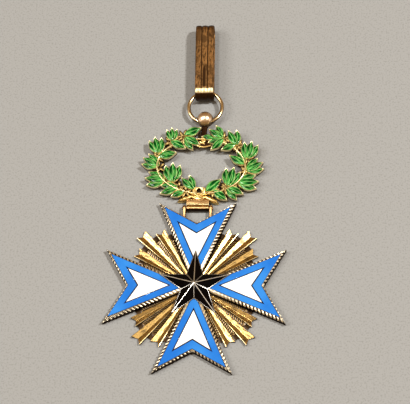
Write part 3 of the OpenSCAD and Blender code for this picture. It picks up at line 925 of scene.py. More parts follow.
def stem_ring(bm, w):
    """The oval stem, a little thicker at each joint of its growth and lower towards the ball."""
    count, sink, highlight_z = 120, 0.35, 0.3
    stations = []
    for k in range(count):
        turn = math.tau * k / count
        top = w.stem_top - sink * max(0.0, math.sin(turn))
        along = Vector((-w.stem_a * math.sin(turn), w.stem_b * math.cos(turn), 0))
        swell = 1 + 0.1 * math.sin(14 * turn) + 0.05 * math.sin(37 * turn)
        place = stem_point(w, turn, (top - w.back) / 2)
        stations.append(station(place, along, w.stem_w / 2 * swell, (top + w.back) / 2))
    sweep(bm, round_section(16), stations + stations[:1], capped=False)
    # The stem's top is painted pale as a highlight.
    set_grime_and_painted_light(bm, [vert for vert in bm.verts if vert.co.z > highlight_z], -0.7)


def bunch_foot(bunch):
    """The matrix of a bunch's foot in the wreath's plan, its X along the bunch."""
    return slide(bunch.x, bunch.y) @ turned(math.radians(bunch.aim))


def stalk(bm, w, bunch):
    """A bunch's stalk, which leaves the stem a little lower down than the bunch stands."""
    turn = math.atan2((bunch.y - w.stem_y) / w.stem_b, bunch.x / w.stem_a)
    down, z = math.radians(-9 if abs(turn) < math.pi / 2 else 9), -0.08
    start = stem_point(w, turn + down, z)
    middle, end = (bunch_foot(bunch) @ Vector((along, 0, z)) for along in (-0.3, 1.1))
    sizes, usual_width, taller = [0.5, 0.46, 0.42, 0.3], 0.85, 1.6
    wides = [size * w.stalk_w / usual_width for size in sizes]
    highs = [size * taller for size in sizes]
    path = [start, start.lerp(middle, 0.55), middle, end]
    sweep(bm, round_section(10), along_path(path, wides, highs))


def lens_ring(start, long, wide, z, count=28):
    """Points of a leaf's outline along +X: two arcs that meet in a point at each end."""
    radius = (long * long + wide * wide) / (4 * wide)
    points = []
    for k in range(count):
        turn = math.tau * k / count
        x = long / 2 * math.cos(turn)
        y = math.sqrt(max(0.0, radius * radius - x * x)) - (radius - wide / 2)
        points.append(Vector((start + long / 2 + x, math.copysign(y, math.sin(turn)), z)))
    return points


def bare_leaf(long, wide, steps, count=14):
    """A plain leaf along +X, in steps of the share it is drawn in by and the height."""
    leaf = new_part()
    rings = []
    for inset, z in steps:
        rings.append(lens_ring(long / 2 * inset, long * (1 - inset), wide * (1 - inset), z, count))
    loft(leaf, rings)
    return leaf


def bracts(bunch):
    """Small plain leaves that clasp the foot of a bunch, each (turn, step back, length)."""
    part = new_part()
    steps = [(0.0, -0.6), (0.0, 0.5), (0.3, 0.8), (0.75, 0.92)]
    leaves = [(-52, 0.9, 3.1), (46, 0.9, 2.8), (-100, 1.2, 2.4), (95, 1.2, 2.6), (165, 1.0, 2.2)]
    for turn, back, long in leaves:
        place = bunch_foot(bunch) @ slide(-back, 0) @ turned(math.radians(turn))
        join(part, bare_leaf(long, 1.1, steps), place)
    # The bracts' tops get a browner tone; their lower faces are painted dark as shade.
    groove = wear_grime_light_layer(part)
    for vert in part.verts:
        vert[groove] = 0.5 if vert.co.z > 0.6 else 0.62
    return part


def leaf_metal(w, long, wide, top):
    """A leaf's gilt body: flat back, upright edge, rounded border and a sunk cell."""
    foot = 0.3
    cell = (foot, long - foot - w.tip, wide - 2 * w.border)
    border = [(0.0, top - 0.22), (0.04, top - 0.08), (0.11, top)]
    rings = [lens_ring(0.15, long - 0.3, wide - 0.2, -w.back)]
    rings += [lens_ring(0, long, wide, 0.12 - w.back)]
    rings += [lens_ring(1.5 * inset, long - 3 * inset, wide - 2 * inset, z) for inset, z in border]
    rings += [lens_ring(cell[0] - 0.08, cell[1] + 0.16, cell[2] + 0.1, top - 0.03)]
    rings += [lens_ring(*cell, top - 0.12), lens_ring(*cell, top - 0.3)]
    part = new_part()
    loft(part, rings)
    # Painted shade on the leaf's upright edge, darker towards its back.
    paint_wall_shade(part, -w.back, 0.7)
    shape_leaf(part, w, long)
    return part


def leaf_enamel(w, long, wide, top):
    """A leaf's enamel: a low cushion in its cell, with a map that runs along and across it."""
    start, run, across = 0.32, long - 0.34 - w.tip, wide - 2 * w.border - 0.04
    steps = [(0.0, -0.26), (0.0, -0.1), (0.16, 0.0), (0.36, 0.07), (0.6, 0.11), (0.84, 0.125)]
    part = new_part()
    rings = []
    for inset, rise in steps:
        ends = 0.9 * inset
        first, long_way = start + run / 2 * ends, run * (1 - ends)
        rings.append(lens_ring(first, long_way, across * (1 - inset), top + rise))
    loft(part, rings)
    leaf_map = part.loops.layers.uv.new("leaf")
    for face in part.faces:
        for loop in face.loops:
            loop[leaf_map].uv = (loop.vert.co.x / long, loop.vert.co.y / wide + 0.5)
    shape_leaf(part, w, long)
    return part


def shape_leaf(part, w, long):
    """Draws a leaf's widest place towards its foot, and its tip to a sharper point."""
    for vert in part.verts:
        along = vert.co.x / long
        vert.co.x *= 1 - w.taper * (1 - along)
        vert.co.y *= 1 - w.point * max(0.0, (along - 0.5) / 0.5) ** 1.5


def lobes_of(w, bunch):
    """Each lobe of a bunch: its matrix in the bunch's plan, its length, its width and its top."""
    wide = bunch.reach * (w.single if bunch.lobes == 1 else w.lobe)
    for k, (turn, aside, part) in enumerate(SPREADS[bunch.lobes]):
        place = slide(-w.overlap, bunch.reach * aside) @ turned(math.radians(turn))
        yield place, bunch.reach * part + w.overlap, wide, w.leaf_top - (0.2 if k else 0.0)


def in_bunch(w, bunch, place, part, turn):
    """Places a lobe in its bunch, draws it together at the foot and carries it to the wreath."""
    bmesh.ops.transform(part, matrix=turn, verts=part.verts[:])
    for vert in part.verts:
        near = max(0.0, 1 - vert.co.x / (bunch.reach * w.pinch_reach))
        vert.co.y *= 1 - w.pinch * near * near
    bmesh.ops.transform(part, matrix=place @ bunch_foot(bunch), verts=part.verts[:])
    return part


def pierced_plate(bm, w):
    """The gusset's plate over the foot block, with a small round hole."""
    centre, hole, top = Vector((0, GUSSET_Y, 0)), 0.75, 0.72
    half_w, half_h = 2.3, 1.2
    inner = [Vector((hole * x, hole * y, 0)) for x, y in round_section(24)]
    outer = [p / hole / max(abs(p.x) / hole / half_w, abs(p.y) / hole / half_h) for p in inner]
    steps = [(inner, 1.0, -w.back), (outer, 1.0, -w.back), (outer, 1.0, top - 0.2)]
    steps += [(outer, 0.93, top), (inner, 1.25, top), (inner, 1.0, top - 0.15)]
    rings = [[centre + p * size + UP * z for p in ring] for ring, size, z in steps]
    levels = loft(bm, rings + rings[:1], capped=False)
    # The hole's wall is painted dark as the shade inside it.
    set_grime_and_painted_light(bm, levels[0] + levels[5] + levels[6], 1.0)


def knot(bm, w):
    """The low knot under the crossing twigs."""
    middle_y = 3.9
    outline = lens_ring(-2.4, 4.8, 2.6, 0)
    steps = [(1.0, -w.back), (1.0, 0.5), (0.85, 0.72), (0.6, 0.84)]
    loft(bm, [[p * size + Vector((0, middle_y, z)) for p in outline] for size, z in steps])


def twig(bm, w, side):
    """One of the two crossing twigs, and the bare leaf beside it."""
    radius, path = 0.42, [(-3.4, 5.6, 0.3), (-1.6, 4.9, 0.85), (0.2, 4.1, 0.95), (1.7, 3.55, 0.6)]
    points = [Vector((side * x, y, z)) for x, y, z in path]
    sweep(bm, round_section(12), along_path(points, [radius] * 4, [radius] * 4))
    steps = [(0.0, -w.back), (0.0, 0.35), (0.25, 0.62), (0.6, 0.8), (0.9, 0.86)]
    aim = math.radians(-24 if side > 0 else 204)
    join(bm, bare_leaf(6.2, 1.6, steps, 28), slide(side * 1.5, 4.6) @ turned(aim))


def gusset(w):
    """A pierced plate over the foot block, a knot, two crossing twigs and two bare leaves."""
    part = new_part()
    pierced_plate(part, w)
    knot(part, w)
    for side in (-1, 1):
        twig(part, w, side)
    return part


def tie_plate(bm, w):
    """The plate that ties the branches at the top."""
    corners = [(-2.6, 23.3), (0, 22.9), (2.6, 23.3), (2.3, 25.9), (-2.3, 25.9)]
    loft(bm, [[Vector((x, y, z)) for x, y in corners] for z in (-w.back, 0.42)])
    bmesh.ops.recalc_face_normals(bm, faces=bm.faces[:])
    soften(bm, 0.1, sharper=40)


def neck(bm):
    """The waisted neck between the tie and the ball."""
    stations = []
    for y, radius in ((25.6, 0.9), (26.2, 0.75), (28.2, 0.62), (30.0, 0.66), (31.2, 0.7)):
        stations.append(station((0, y, -0.35), Vector((0, 1, 0)), radius * 1.6, radius * 0.8))
    sweep(bm, round_section(20), stations)


def tie_bracts(bm):
    """Four small plain leaves on the tie, each (x, y, length, turn)."""
    steps = [(0.0, 0.3), (0.0, 0.5), (0.3, 0.66), (0.75, 0.72)]
    leaves = [(-1.5, 24.9, 2.2, -20), (0.9, 25.2, 2.0, 200)]
    leaves += [(-0.3, 24.3, 1.7, 80), (0.6, 24.0, 1.6, 150)]
    for x, y, long, aim in leaves:
        join(bm, bare_leaf(long, 1.0, steps), slide(x, y) @ turned(math.radians(aim)))


def tie_lip(bm):
    """The rolled lower edge of the tie, bowed down and thinner at its ends."""
    lip = []
    for k in range(-6, 7):
        place, radius = Vector((0.45 * k, 22.92 + 0.0225 * k * k, 0.42)), 0.34 - 0.004 * k * k
        lip.append(station(place, Vector((1, 0.08 * place.x, 0)), radius, radius * 0.8))
    sweep(bm, round_section(12), lip)


def tie(w):
    """The tie at the top of the branches, with the neck, its bracts and its lip."""
    part = new_part()
    tie_plate(part, w)
    neck(part)
    # The plate and the neck are painted dark as shade.
    set_grime_and_painted_light(part, part.verts, 1.0)
    tie_bracts(part)
    tie_lip(part)
    return part


class BADGE_OT_stems(bpy.types.Operator):
    """Builds the wreath's stems, stalks, gusset with its bare leaves, tie and neck"""

    bl_idname = "badge.stems"
    bl_label = "Stems"

    def execute(self, context):
        w = in_mm(context.scene.badge_wreath)
        bm = new_part()
        stem_ring(bm, w)
        for bunch in BUNCHES:
            stalk(bm, w, bunch)
            if math.hypot(bunch.x, bunch.y - GUSSET_Y) > CLEAR_OF_GUSSET:
                join(bm, bracts(bunch))
        join(bm, gusset(w))
        # Painted shade on the walls of the stems, stalks, bracts and gusset, darker towards their
        # back.
        paint_wall_shade(bm, -w.back, 0.1)
        join(bm, tie(w))
        bmesh.ops.transform(bm, matrix=in_wreath(w), verts=bm.verts[:])
        make_gilt("stems", bm, "gilt_cast", "wreath", "wreath", sharp=60)
        return {"FINISHED"}


class BADGE_OT_leaves(bpy.types.Operator):
    """Builds the gilt leaves of the wreath and fires their green enamel"""

    bl_idname = "badge.leaves"
    bl_label = "Leaves"

    def execute(self, context):
        w = in_mm(context.scene.badge_wreath)
        place = in_wreath(w)
        metal = new_part()
        green = enamel("green_enamel")
        for number, bunch in enumerate(BUNCHES, start=1):
            fired = new_part()
            for turn, long, wide, top in lobes_of(w, bunch):
                join(metal, in_bunch(w, bunch, place, leaf_metal(w, long, wide, top), turn))
                join(fired, in_bunch(w, bunch, place, leaf_enamel(w, long, wide, top), turn))
            node = f"leaf_enamel_{number}"
            make_piece(f"bunch_{number}", fired, green, "wreath", [node], sharp=70)
        make_gilt("leaf_metal", metal, "gilt_leaves", "wreath", "wreath", sharp=50)
        return {"FINISHED"}


# Ball, ring and loop


def cut(body, tool):
    """A body with a tool's shape taken out of it."""
    made = []
    for name, bm in (("body", body), ("tool", tool)):
        mesh = bpy.data.meshes.new(name)
        bm.to_mesh(mesh)
        bm.free()
        made.append(bpy.data.objects.new(name, mesh))
        bpy.context.scene.collection.objects.link(made[-1])
    modifier = made[0].modifiers.new("cut", "BOOLEAN")
    modifier.object = made[1]
    modifier.operation = "DIFFERENCE"
    modifier.solver = "EXACT"
    result = bmesh.new()
    result.from_object(made[0], bpy.context.evaluated_depsgraph_get())
    for item in made:
        mesh = item.data
        bpy.data.objects.remove(item)
        bpy.data.meshes.remove(mesh)
    return result


class BADGE_OT_ball(bpy.types.Operator):
    """Builds the bored ball on the wreath's neck"""

    bl_idname = "badge.ball"
    bl_label = "Ball"

    def execute(self, context):
        w = in_mm(context.scene.badge_wreath)
        centre = in_wreath(w) @ Vector((0, w.ball_y, 0))
        upright = Matrix.Translation(centre) @ turned(math.pi / 2, "X")
        ball = new_part()
        bmesh.ops.create_uvsphere(
            ball, u_segments=64, v_segments=40, radius=w.ball_r, matrix=upright
        )
        drill = new_part()
        bmesh.ops.create_cone(
            drill, cap_ends=True, segments=48, radius1=w.bore_r, radius2=w.bore_r,
            depth=4 * w.ball_r, matrix=Matrix.Translation(BORE) @ turned(math.pi / 2, "Y"),
        )
        bored = cut(ball, drill)
        soften(bored, 0.12, sharper=35, segments=3)
        # The ball's outer part is painted dark as the dark reflection round its rim.
        groove = wear_grime_light_layer(bored)
        for vert in bored.verts:
            aside = (vert.co - centre).to_2d().length / w.ball_r
            vert[groove] = 0.95 * max(0.0, aside - 0.42)
        make_gilt("ball", bored, "gilt_ball", "wreath", "wreath", sharp=60)
        return {"FINISHED"}


class BADGE_OT_ring(bpy.types.Operator):
    """Builds the ring that joins the ball and the ribbon loop"""

    bl_idname = "badge.ring"
    bl_label = "Ring"

    def execute(self, context):
        p = in_mm(context.scene.badge_loop)
        low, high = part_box("ring")
        centre = (low + high) / 2 / MM
        tilt = math.asin((LOOP_PIVOT.z - centre.z) / p.ring_r)
        bm = new_part()
        count = 128
        stations = []
        for turn in (math.tau * k / count for k in range(count)):
            along = polar(1, turn + math.pi / 2)
            stations.append(station(polar(p.ring_r, turn), along, p.wire_r, p.wire_r))
        sweep(bm, round_section(24), stations + stations[:1], capped=False)
        # The wire's lower side is painted dark as shade.
        groove = wear_grime_light_layer(bm)
        for vert in bm.verts:
            vert[groove] = min(0.85, 1.3 * max(0.0, 0.85 - vert.co.z / p.wire_r))
        place = Matrix.Translation(centre) @ turned(tilt, "X")
        bmesh.ops.transform(bm, matrix=place, verts=bm.verts[:])
        make_gilt("suspension_ring", bm, "gilt_ring", "ring", "ring")
        return {"FINISHED"}


def strip_section(p):
    """The loop's section, X across and Y outwards: three reeds outside and a flat inside."""
    third, edge, count = p.width / 3, p.width / 2, 9
    points = []
    for reed in range(3):
        for t in (k / (count - 1) for k in range(count)):
            rise = p.reed * math.sin(math.pi * t) ** 0.6
            points.append((third * (reed + t) - edge, p.strip + rise))
    corner = [(edge, p.strip * 0.5), (edge - 0.12, 0.06), (edge - 0.35, 0.0)]
    return points + corner + [(0.0, 0.0)] + [(-x, y) for x, y in reversed(corner)]


def strip_station(place, outward):
    """A matrix that stands the strip's section on the loop, its Y pointing outwards."""
    sideways = Vector((1, 0, 0))
    turn = Matrix((sideways, outward, sideways.cross(outward))).transposed().to_4x4()
    return Matrix.Translation(place) @ turn


def loop_path(p):
    """Stations round the loop: the lower bend, the upper leg, the upper bend, the lower leg."""
    radius = p.depth / 2 - p.strip - p.reed
    leg, bend, straight = p.long - p.depth, 28, 40
    stations = []
    for start, centre_y, outward in ((math.pi, 0.0, UP), (0.0, leg, -UP)):
        for turn in (start + math.pi * k / bend for k in range(bend + 1)):
            out = Vector((0, math.sin(turn), math.cos(turn)))
            stations.append(strip_station(Vector((0, centre_y, 0)) + out * radius, out))
        for k in range(1, straight):
            y = leg * (k if start else straight - k) / straight
            stations.append(strip_station(Vector((0, y, 0)) + outward * radius, outward))
    return stations


def tarnish_and_painted_bend(bm, p):
    """Grime between the reeds, a stain near the ring, a dark far end, painted highlight and shade
    on the bend.
    """
    stain_end, stain_fade, far_end = 13, 6, p.long - p.depth
    highlight_from, highlight_to = 6, 38
    groove = wear_grime_light_layer(bm)
    for vert in bm.verts:
        x, y, z = vert.co
        depth = max(0.0, 1 - abs(abs(x) - p.width / 6) / 0.4)
        if z > 0 and 0 < y < stain_end:
            fade = min(1.0, (stain_end - y) / stain_fade)
            depth = max(depth, 0.55 * fade * max(0.0, 1.55 - abs(x)))
        if z > 0 and y > far_end:
            depth = max(depth, min(0.65, 0.35 * (y - far_end)))
        # The lower bend is painted pale as a highlight from 6 to 38 degrees, and dark as shade
        # beyond.
        turn = math.degrees(math.atan2(-y, z))
        if y < 0 and turn > highlight_from:
            depth = -0.6 if turn < highlight_to else 0.64
        vert[groove] = depth


def dent(bm):
    """Shallow dents all over the loop, none at its middle plane."""
    deepest, scale = 0.05, 0.35
    for vert in bm.verts:
        depth = noise.noise(vert.co * scale) * deepest * min(1.0, abs(vert.co.z) / 2)
        vert.co.z += depth if vert.co.z > 0 else -depth


class BADGE_OT_loop(bpy.types.Operator):
    """Builds the long fluted ribbon loop"""

    bl_idname = "badge.loop"
    bl_label = "Ribbon loop"

    def execute(self, context):
        p = in_mm(context.scene.badge_loop)
        bm = new_part()
        stations = loop_path(p)
        sweep(bm, strip_section(p), stations + stations[:1], capped=False)
        tarnish_and_painted_bend(bm, p)
        dent(bm)
        place = Matrix.Translation(LOOP_PIVOT) @ turned(p.lean) @ slide(-p.shift, p.bend_low)
        bmesh.ops.transform(bm, matrix=place, verts=bm.verts[:])
        old = gilt_metal("gilt_old")
        make_piece("ribbon_loop", bm, old, "bail", ["bail"], sharp=60)
        return {"FINISHED"}


# Finishes


class Tree:
    """Short words for placing and joining the nodes of one tree."""

    def __init__(self, tree):
        self.tree = tree

    def add(self, kind, inputs=None, **settings):
        """A node with its settings, each named input set to a value or joined to a socket."""
        node = self.tree.nodes.new(kind)
        for key, value in settings.items():
            setattr(node, key, value)
        for key, value in (inputs or {}).items():
            if isinstance(value, bpy.types.NodeSocket):
                self.tree.links.new(value, node.inputs[key])
            else:
                node.inputs[key].default_value = value
        return node

    def maths(self, operation, first, second=0.0):
        """The result of one sum."""
        return self.add("ShaderNodeMath", {0: first, 1: second}, operation=operation).outputs[0]

    def times(self, first, second):
        """One value multiplied by another."""
        return self.maths("MULTIPLY", first, second)

    def clouds(self, place, scale, detail=2.0, rough=0.5):
        """Noise from 0 to 1."""
        inputs = {"Vector": place, "Scale": scale, "Detail": detail, "Roughness": rough}
        return self.add("ShaderNodeTexNoise", inputs).outputs[0]

    def blend(self, amount, first, second):
        """A mix of two colours."""
        node = self.add("ShaderNodeMix", {0: amount, 6: first, 7: second}, data_type="RGBA")
        return node.outputs[2]

    def spread(self, value, low, high, to_low=0.0, to_high=1.0):
        """A value carried from one range to another, held at its ends."""
        inputs = {"Value": value, "From Min": low, "From Max": high}
        inputs.update({"To Min": to_low, "To Max": to_high})
        return self.add("ShaderNodeMapRange", inputs).outputs["Result"]


def patina(tree, given):
    """Soft clouds of two sizes, more of them as the amount grows."""
    finer, large_share, barest, reach, softness = 5.3, 0.65, 0.72, 0.45, 0.16
    large = tree.clouds(given["Vector"], given["Scale"], 3.0)
    small = tree.clouds(given["Vector"], tree.times(given["Scale"], finer))
    small = tree.times(small, 1 - large_share)
    mixed = tree.maths("ADD", tree.times(large, large_share), small)
    edge = tree.maths("SUBTRACT", barest, tree.times(given["Amount"], reach))
    return tree.spread(mixed, edge, tree.maths("ADD", edge, softness))


def grain(tree, given):
    """Fine grain of the metal's skin."""
    return tree.clouds(given["Vector"], given["Scale"], 4.0, 0.7)


def rays_out(tree, given):
    """Streaks that run out from the badge's centre, 420 to the metre along their length."""
    parts = tree.add("ShaderNodeSeparateXYZ", {0: given["Vector"]}).outputs
    turn = tree.maths("ARCTAN2", parts[1], parts[0])
    far = tree.add("ShaderNodeVectorMath", {0: given["Vector"]}, operation="LENGTH")
    far = tree.times(far.outputs["Value"], 420.0)
    inputs = {0: tree.times(turn, given["Count"]), 1: far}
    return tree.clouds(tree.add("ShaderNodeCombineXYZ", inputs).outputs[0], 1.0, 3.0)


def drawn_out(tree, given):
    """Streaks along Y, as a rolled strip has them."""
    inputs = {0: given["Vector"], 1: given["Squeeze"]}
    squeezed = tree.add("ShaderNodeVectorMath", inputs, operation="MULTIPLY").outputs[0]
    return tree.clouds(squeezed, 1.0, 4.0)


# Each shared effect: its inputs besides the place, its output, and what builds it.
Effect = namedtuple("Effect", "name inputs output build")
PATINA = Effect("Patina", {"Scale": 200.0, "Amount": 0.5}, "Mask", patina)
GRAIN = Effect("Grain", {"Scale": 3000.0}, "Height", grain)
STREAKS = Effect("Outward streaks", {"Count": 60.0}, "Streak", rays_out)
DRAWN = Effect("Drawn streaks", {"Squeeze": (2100.0, 460.0, 900.0)}, "Streak", drawn_out)

# Each gilt finish: its clean colour, roughness, the scale and amount of its patina, the scale of
# its grain, its relief, the darkness of its grooves and painted shade, its lacquer and its streaks.
Gilt = namedtuple("Gilt", "clean rough scale amount grain bump dirt coat streaks")
GILTS = {
    "gilt_milled": Gilt("milled_gilt", 0.4, 260.0, 0.2, 4200.0, 0.12, 1.0, 0.0, None),
    "gilt_rays": Gilt("gilt", 0.24, 800.0, 0.5, 3800.0, 0.2, 0.98, 0.4, STREAKS),
    "gilt_lines": Gilt("silvery", 0.3, 400.0, 0.1, 5000.0, 0.06, 0.9, 0.0, None),
    "gilt_hinge": Gilt("hinge_gilt", 0.3, 500.0, 0.35, 3000.0, 0.15, 1.0, 0.0, None),
    "gilt_cast": Gilt("cast_gilt", 0.3, 600.0, 0.35, 2600.0, 0.12, 1.0, 0.0, None),
    "gilt_leaves": Gilt("pale_gilt", 0.42, 420.0, 0.15, 4200.0, 0.1, 1.0, 0.0, None),
    "gilt_ring": Gilt("warm_gilt", 0.2, 300.0, 0.35, 4200.0, 0.08, 0.95, 0.0, None),
    "gilt_ball": Gilt("ball_gilt", 0.3, 300.0, 0.35, 4200.0, 0.08, 0.95, 0.0, None),
    "gilt_old": Gilt("old_gilt", 0.34, 210.0, 0.7, 2600.0, 0.35, 0.95, 0.0, DRAWN),
}

# Each plain enamel: its deep colour, its thin colour, how much of the thin one shows, its gloss.
Enamel = namedtuple("Enamel", "deep thin amount gloss")
ENAMELS = {
    "blue_enamel": Enamel("blue", "blue_light", 0.7, 0.4),
    "white_enamel": Enamel("white", "floor", 0.06, 0.4),
    "black_enamel": Enamel("black", "shade", 0.05, 0.06),
}


def rgba(name):
    """A colour of the panel, with full alpha."""
    return (*getattr(bpy.context.scene.badge_colours, name), 1.0)


def new_material(name):
    """An empty material, its tree and the coordinates of the object it is on."""
    material = bpy.data.materials.new(name)
    material.use_nodes = True
    material.node_tree.nodes.clear()
    tree = Tree(material.node_tree)
    return material, tree, tree.add("ShaderNodeTexCoord").outputs["Object"]


def shared_group(effect):
    """The node group of an effect, built once."""
    group = bpy.data.node_groups.get(effect.name)
    if group:
        return group
    group = bpy.data.node_groups.new(effect.name, "ShaderNodeTree")
    group.interface.new_socket("Vector", in_out="INPUT", socket_type="NodeSocketVector")
    for label, default in effect.inputs.items():
        kind = "NodeSocketVector" if isinstance(default, tuple) else "NodeSocketFloat"
        socket = group.interface.new_socket(label, in_out="INPUT", socket_type=kind)
        socket.default_value = default
    group.interface.new_socket(effect.output, in_out="OUTPUT", socket_type="NodeSocketFloat")
    tree = Tree(group)
    made = effect.build(tree, tree.add("NodeGroupInput").outputs)
    tree.add("NodeGroupOutput", {effect.output: made})
    return group


def placed(tree, effect, place, **inputs):
    """A shared effect set in a material, and its one output."""
    inputs["Vector"] = place
    return tree.add("ShaderNodeGroup", inputs, node_tree=shared_group(effect)).outputs[0]


def bumped(tree, height, strength, distance):
    """The normal that a height gives."""
    inputs = {"Height": height, "Strength": strength, "Distance": distance}
    return tree.add("ShaderNodeBump", inputs).outputs["Normal"]


def shaded(tree, inputs):
    """The principled shader of a material, joined to its output."""
    shader = tree.add("ShaderNodeBsdfPrincipled", inputs)
    tree.add("ShaderNodeOutputMaterial", {"Surface": shader.outputs[0]})


def gilt_metal(name):
    """A gilt finish from the table above."""
    if name in bpy.data.materials:
        return bpy.data.materials[name]
    kind = GILTS[name]
    material, tree, place = new_material(name)
    skin = placed(tree, GRAIN, place, Scale=kind.grain)
    clouds = placed(tree, PATINA, place, Scale=kind.scale, Amount=kind.amount)
    groove = tree.add("ShaderNodeAttribute", attribute_name="groove").outputs["Fac"]
    clean_until, dark_from, cloud_depth = 0.3, 0.62, 0.75
    dirt = tree.times(tree.spread(groove, clean_until, dark_from), kind.dirt)
    mask = tree.maths("MAXIMUM", tree.times(clouds, cloud_depth), dirt)
    height = skin
    if kind.streaks:
        streak = placed(tree, kind.streaks, place)
        mask = tree.maths("MAXIMUM", mask, tree.spread(streak, 0.46, 0.58, 0.0, 0.85))
        height = tree.maths("ADD", tree.times(streak, 1.4), tree.times(skin, 0.5))
    # Grime and painted shade darken towards shade; wear and painted highlights pale towards pale
    # gilt.
    base = tree.blend(mask, rgba(kind.clean), rgba("shade"))
    base = tree.blend(tree.spread(groove, 0.0, -1.0), base, rgba("pale_gilt"))
    swing, dirt_rough = 0.06, 0.18
    rough = tree.spread(skin, 0.3, 0.7, kind.rough - swing, kind.rough + swing)
    rough = tree.maths("ADD", rough, tree.times(mask, dirt_rough))
    shaded(tree, {
        "Base Color": base, "Metallic": 1.0, "Roughness": rough,
        "Normal": bumped(tree, height, kind.bump, 0.00004),
        "Coat Weight": kind.coat, "Coat Roughness": 0.22,
    })
    return material


def enamel(slot):
    """The fired enamel of a slot: blue, white, black or green."""
    name = f"fired_{slot}"
    if name in bpy.data.materials:
        return bpy.data.materials[name]
    material, tree, place = new_material(name)
    cloud_scale, pit_scale, pit_dirt, pit_depth = 75.0, 900.0, 0.35, 0.12
    clouds = tree.clouds(place, cloud_scale, 4.0)
    cells = tree.add("ShaderNodeTexVoronoi", {"Vector": place, "Scale": pit_scale})
    pit = tree.spread(cells.outputs["Distance"], 0.04, 0.1, 1.0, 0.0)
    if slot == "green_enamel":
        base, gloss = leaf_colour(tree, place), 0.12
    else:
        kind = ENAMELS[slot]
        gloss = kind.gloss
        tint = tree.spread(clouds, 0.4, 0.65, 0.0, kind.amount)
        base = tree.blend(tint, rgba(kind.deep), rgba(kind.thin))
        base = tree.blend(tree.times(pit, pit_dirt), base, rgba("shade"))
    height = tree.maths("SUBTRACT", clouds, tree.times(pit, pit_depth))
    shaded(tree, {
        "Base Color": base, "Roughness": tree.spread(clouds, 0.3, 0.7, 0.07, 0.13),
        "Specular IOR Level": gloss, "Normal": bumped(tree, height, 0.25, 0.0002),
    })
    return material


def leaf_colour(tree, place):
    """Green enamel over an engraved leaf: long pale streaks, a dark vein and pale edges."""
    uv = tree.add("ShaderNodeUVMap", uv_map="leaf").outputs[0]
    along, across = tree.add("ShaderNodeSeparateXYZ", {0: uv}).outputs[:2]
    streaks_across, streaks_along, wander = 12.0, 2.2, 14.0
    row = tree.times(across, streaks_across)
    row = tree.maths("ADD", row, tree.times(tree.clouds(place, 90.0), wander))
    inputs = {0: tree.times(along, streaks_along), 1: row}
    streak = tree.clouds(tree.add("ShaderNodeCombineXYZ", inputs).outputs[0], 1.0)
    from_middle = tree.maths("ABSOLUTE", tree.maths("SUBTRACT", across, 0.5))
    base = tree.blend(tree.spread(streak, 0.47, 0.57), rgba("green"), rgba("green_light"))
    base = tree.blend(tree.spread(streak, 0.555, 0.62, 0.0, 0.7), base, rgba("green_edge"))
    vein = tree.spread(from_middle, 0.01, 0.045, 0.5, 0.0)
    base = tree.blend(vein, base, rgba("green_edge"))
    ragged = tree.times(tree.maths("SUBTRACT", streak, 0.5), 0.3)
    thin = tree.maths("ADD", from_middle, ragged)
    thin = tree.maths("ADD", thin, tree.spread(along, 0.75, 1.0, 0.0, 0.3))
    return tree.blend(tree.spread(thin, 0.29, 0.44, 0.0, 0.85), base, rgba("green_edge"))


# Stage

# Each light: its place and size in metres, and its power as a share of one on the panel.
Light = namedtuple("Light", "name place size power share")
LIGHTS = [
    Light("panel", (0.0, -0.55, 0.85), (1.6, 0.45), "panel", 1.0),
    Light("left_card", (-0.77, -0.01, 0.93), (0.5, 0.46), "card", 5.2),
    Light("left_side", (-1.2, -0.1, 0.28), (0.8, 0.4), "card", 1.0),
    Light("right_side", (1.2, -0.1, 0.28), (0.8, 0.4), "card", 1.0),
    Light("left_lamp", (-0.28, 0.1, 1.15), (0.12, 0.12), "lamp", 1.0),
    Light("right_lamp", (0.66, 0.08, 1.04), (0.12, 0.12), "lamp", 2.9),
]


def lay_floor(scene):
    """The plain floor that the badge lies on."""
    bm = bmesh.new()
    bmesh.ops.create_grid(bm, x_segments=1, y_segments=1, size=1400)
    bmesh.ops.scale(bm, vec=(MM, MM, MM), verts=bm.verts[:])
    mesh = bpy.data.meshes.new("floor")
    bm.to_mesh(mesh)
    bm.free()
    floor = bpy.data.objects.new("floor", mesh)
    scene.collection.objects.link(floor)
    material, tree, place = new_material("floor")
    speck = tree.spread(tree.clouds(place, 1700.0), 0.5, 0.8, 0.0, 0.35)
    base = tree.blend(speck, rgba("floor"), rgba("shade"))
    shaded(tree, {"Base Color": base, "Roughness": 0.85, "Specular IOR Level": 0.2})
    mesh.materials.append(material)


def light_sky(scene, strength):
    """The even light all round, which the camera sees as a pale backdrop."""
    world = bpy.data.worlds.new("studio")
    world.use_nodes = True
    background = world.node_tree.nodes["Background"]
    tree = Tree(world.node_tree)
    seen = tree.add("ShaderNodeLightPath").outputs["Is Camera Ray"]
    tree.tree.links.new(tree.blend(seen, rgba("sky"), rgba("backdrop")), background.inputs["Color"])
    background.inputs["Strength"].default_value = strength
    scene.world = world


def hang_lights(scene, s):
    """The lights of the table above, all aimed at the badge."""
    target = Vector((0, 0.03, 0))
    for row in LIGHTS:
        light = bpy.data.lights.new(row.name, "AREA")
        light.shape = "RECTANGLE"
        light.size, light.size_y = row.size
        light.energy = getattr(s, row.power) * row.share
        light.color = (1.0, 0.99, 0.98)
        lamp = bpy.data.objects.new(row.name, light)
        lamp.location = row.place
        lamp.rotation_euler = (target - Vector(row.place)).to_track_quat("-Z", "Y").to_euler()
        scene.collection.objects.link(lamp)


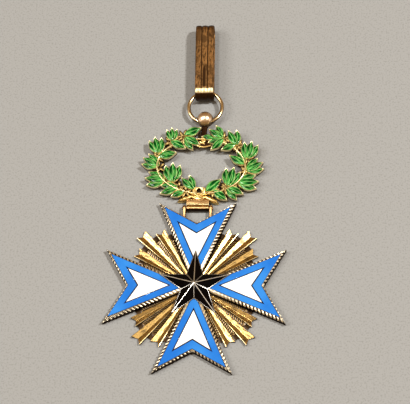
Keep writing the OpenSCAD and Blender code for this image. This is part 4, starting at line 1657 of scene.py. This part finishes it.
def set_camera(scene, s):
    """The camera in front of the badge, looking down at it and a little rolled."""
    camera = bpy.data.objects.new("camera", bpy.data.cameras.new("camera"))
    camera.data.lens = s.lens
    camera.data.sensor_width = 36.0
    camera.data.clip_start = 0.01
    place = Vector((s.camera_x, -s.camera_back, s.camera_z)) * MM
    sight = (Vector((s.aim_x, s.aim_y, 0)) * MM - place).to_track_quat("-Z", "Y")
    camera.matrix_world = Matrix.Translation(place) @ sight.to_matrix().to_4x4() @ turned(s.roll)
    scene.collection.objects.link(camera)
    scene.camera = camera
    scene.view_settings.view_transform = "Standard"


class BADGE_OT_stage(bpy.types.Operator):
    """Sets the floor, the lights and the camera"""

    bl_idname = "badge.stage"
    bl_label = "Stage"

    def execute(self, context):
        s = in_mm(context.scene.badge_stage)
        lay_floor(context.scene)
        light_sky(context.scene, s.sky)
        hang_lights(context.scene, s)
        set_camera(context.scene, s)
        return {"FINISHED"}


class BADGE_PT_panel(bpy.types.Panel):
    """Lists the badge's sizes and its build steps"""

    bl_label = "Order Badge"
    bl_idname = "BADGE_PT_panel"
    bl_space_type = "VIEW_3D"
    bl_region_type = "UI"
    bl_category = "Badge"

    def draw(self, context):
        layout = self.layout
        for operator in OPERATORS:
            layout.operator(operator.bl_idname)
        for name in GROUPS:
            group = getattr(context.scene, name)
            box = layout.box()
            box.label(text=name.replace("badge_", "").capitalize())
            for prop in settings_of(group):
                box.prop(group, prop.identifier)


OPERATORS = [
    BADGE_OT_stage,
    BADGE_OT_arms,
    BADGE_OT_fields,
    BADGE_OT_rays,
    BADGE_OT_star,
    BADGE_OT_hinge,
    BADGE_OT_stems,
    BADGE_OT_leaves,
    BADGE_OT_ball,
    BADGE_OT_ring,
    BADGE_OT_loop,
]


def register():
    """Adds the badge's settings, its build steps and its panel."""
    for cls in [*GROUPS.values(), *OPERATORS, BADGE_PT_panel]:
        bpy.utils.register_class(cls)
    for name, group in GROUPS.items():
        setattr(bpy.types.Scene, name, bpy.props.PointerProperty(type=group))


def unregister():
    """Takes away all that register adds."""
    for name in GROUPS:
        delattr(bpy.types.Scene, name)
    for cls in [BADGE_PT_panel, *reversed(OPERATORS), *reversed(GROUPS.values())]:
        bpy.utils.unregister_class(cls)


def main():
    """Builds every piece in order."""
    register()
    for operator in OPERATORS:
        family, step = operator.bl_idname.split(".")
        getattr(getattr(bpy.ops, family), step)()


if __name__ == "__main__":
    main()
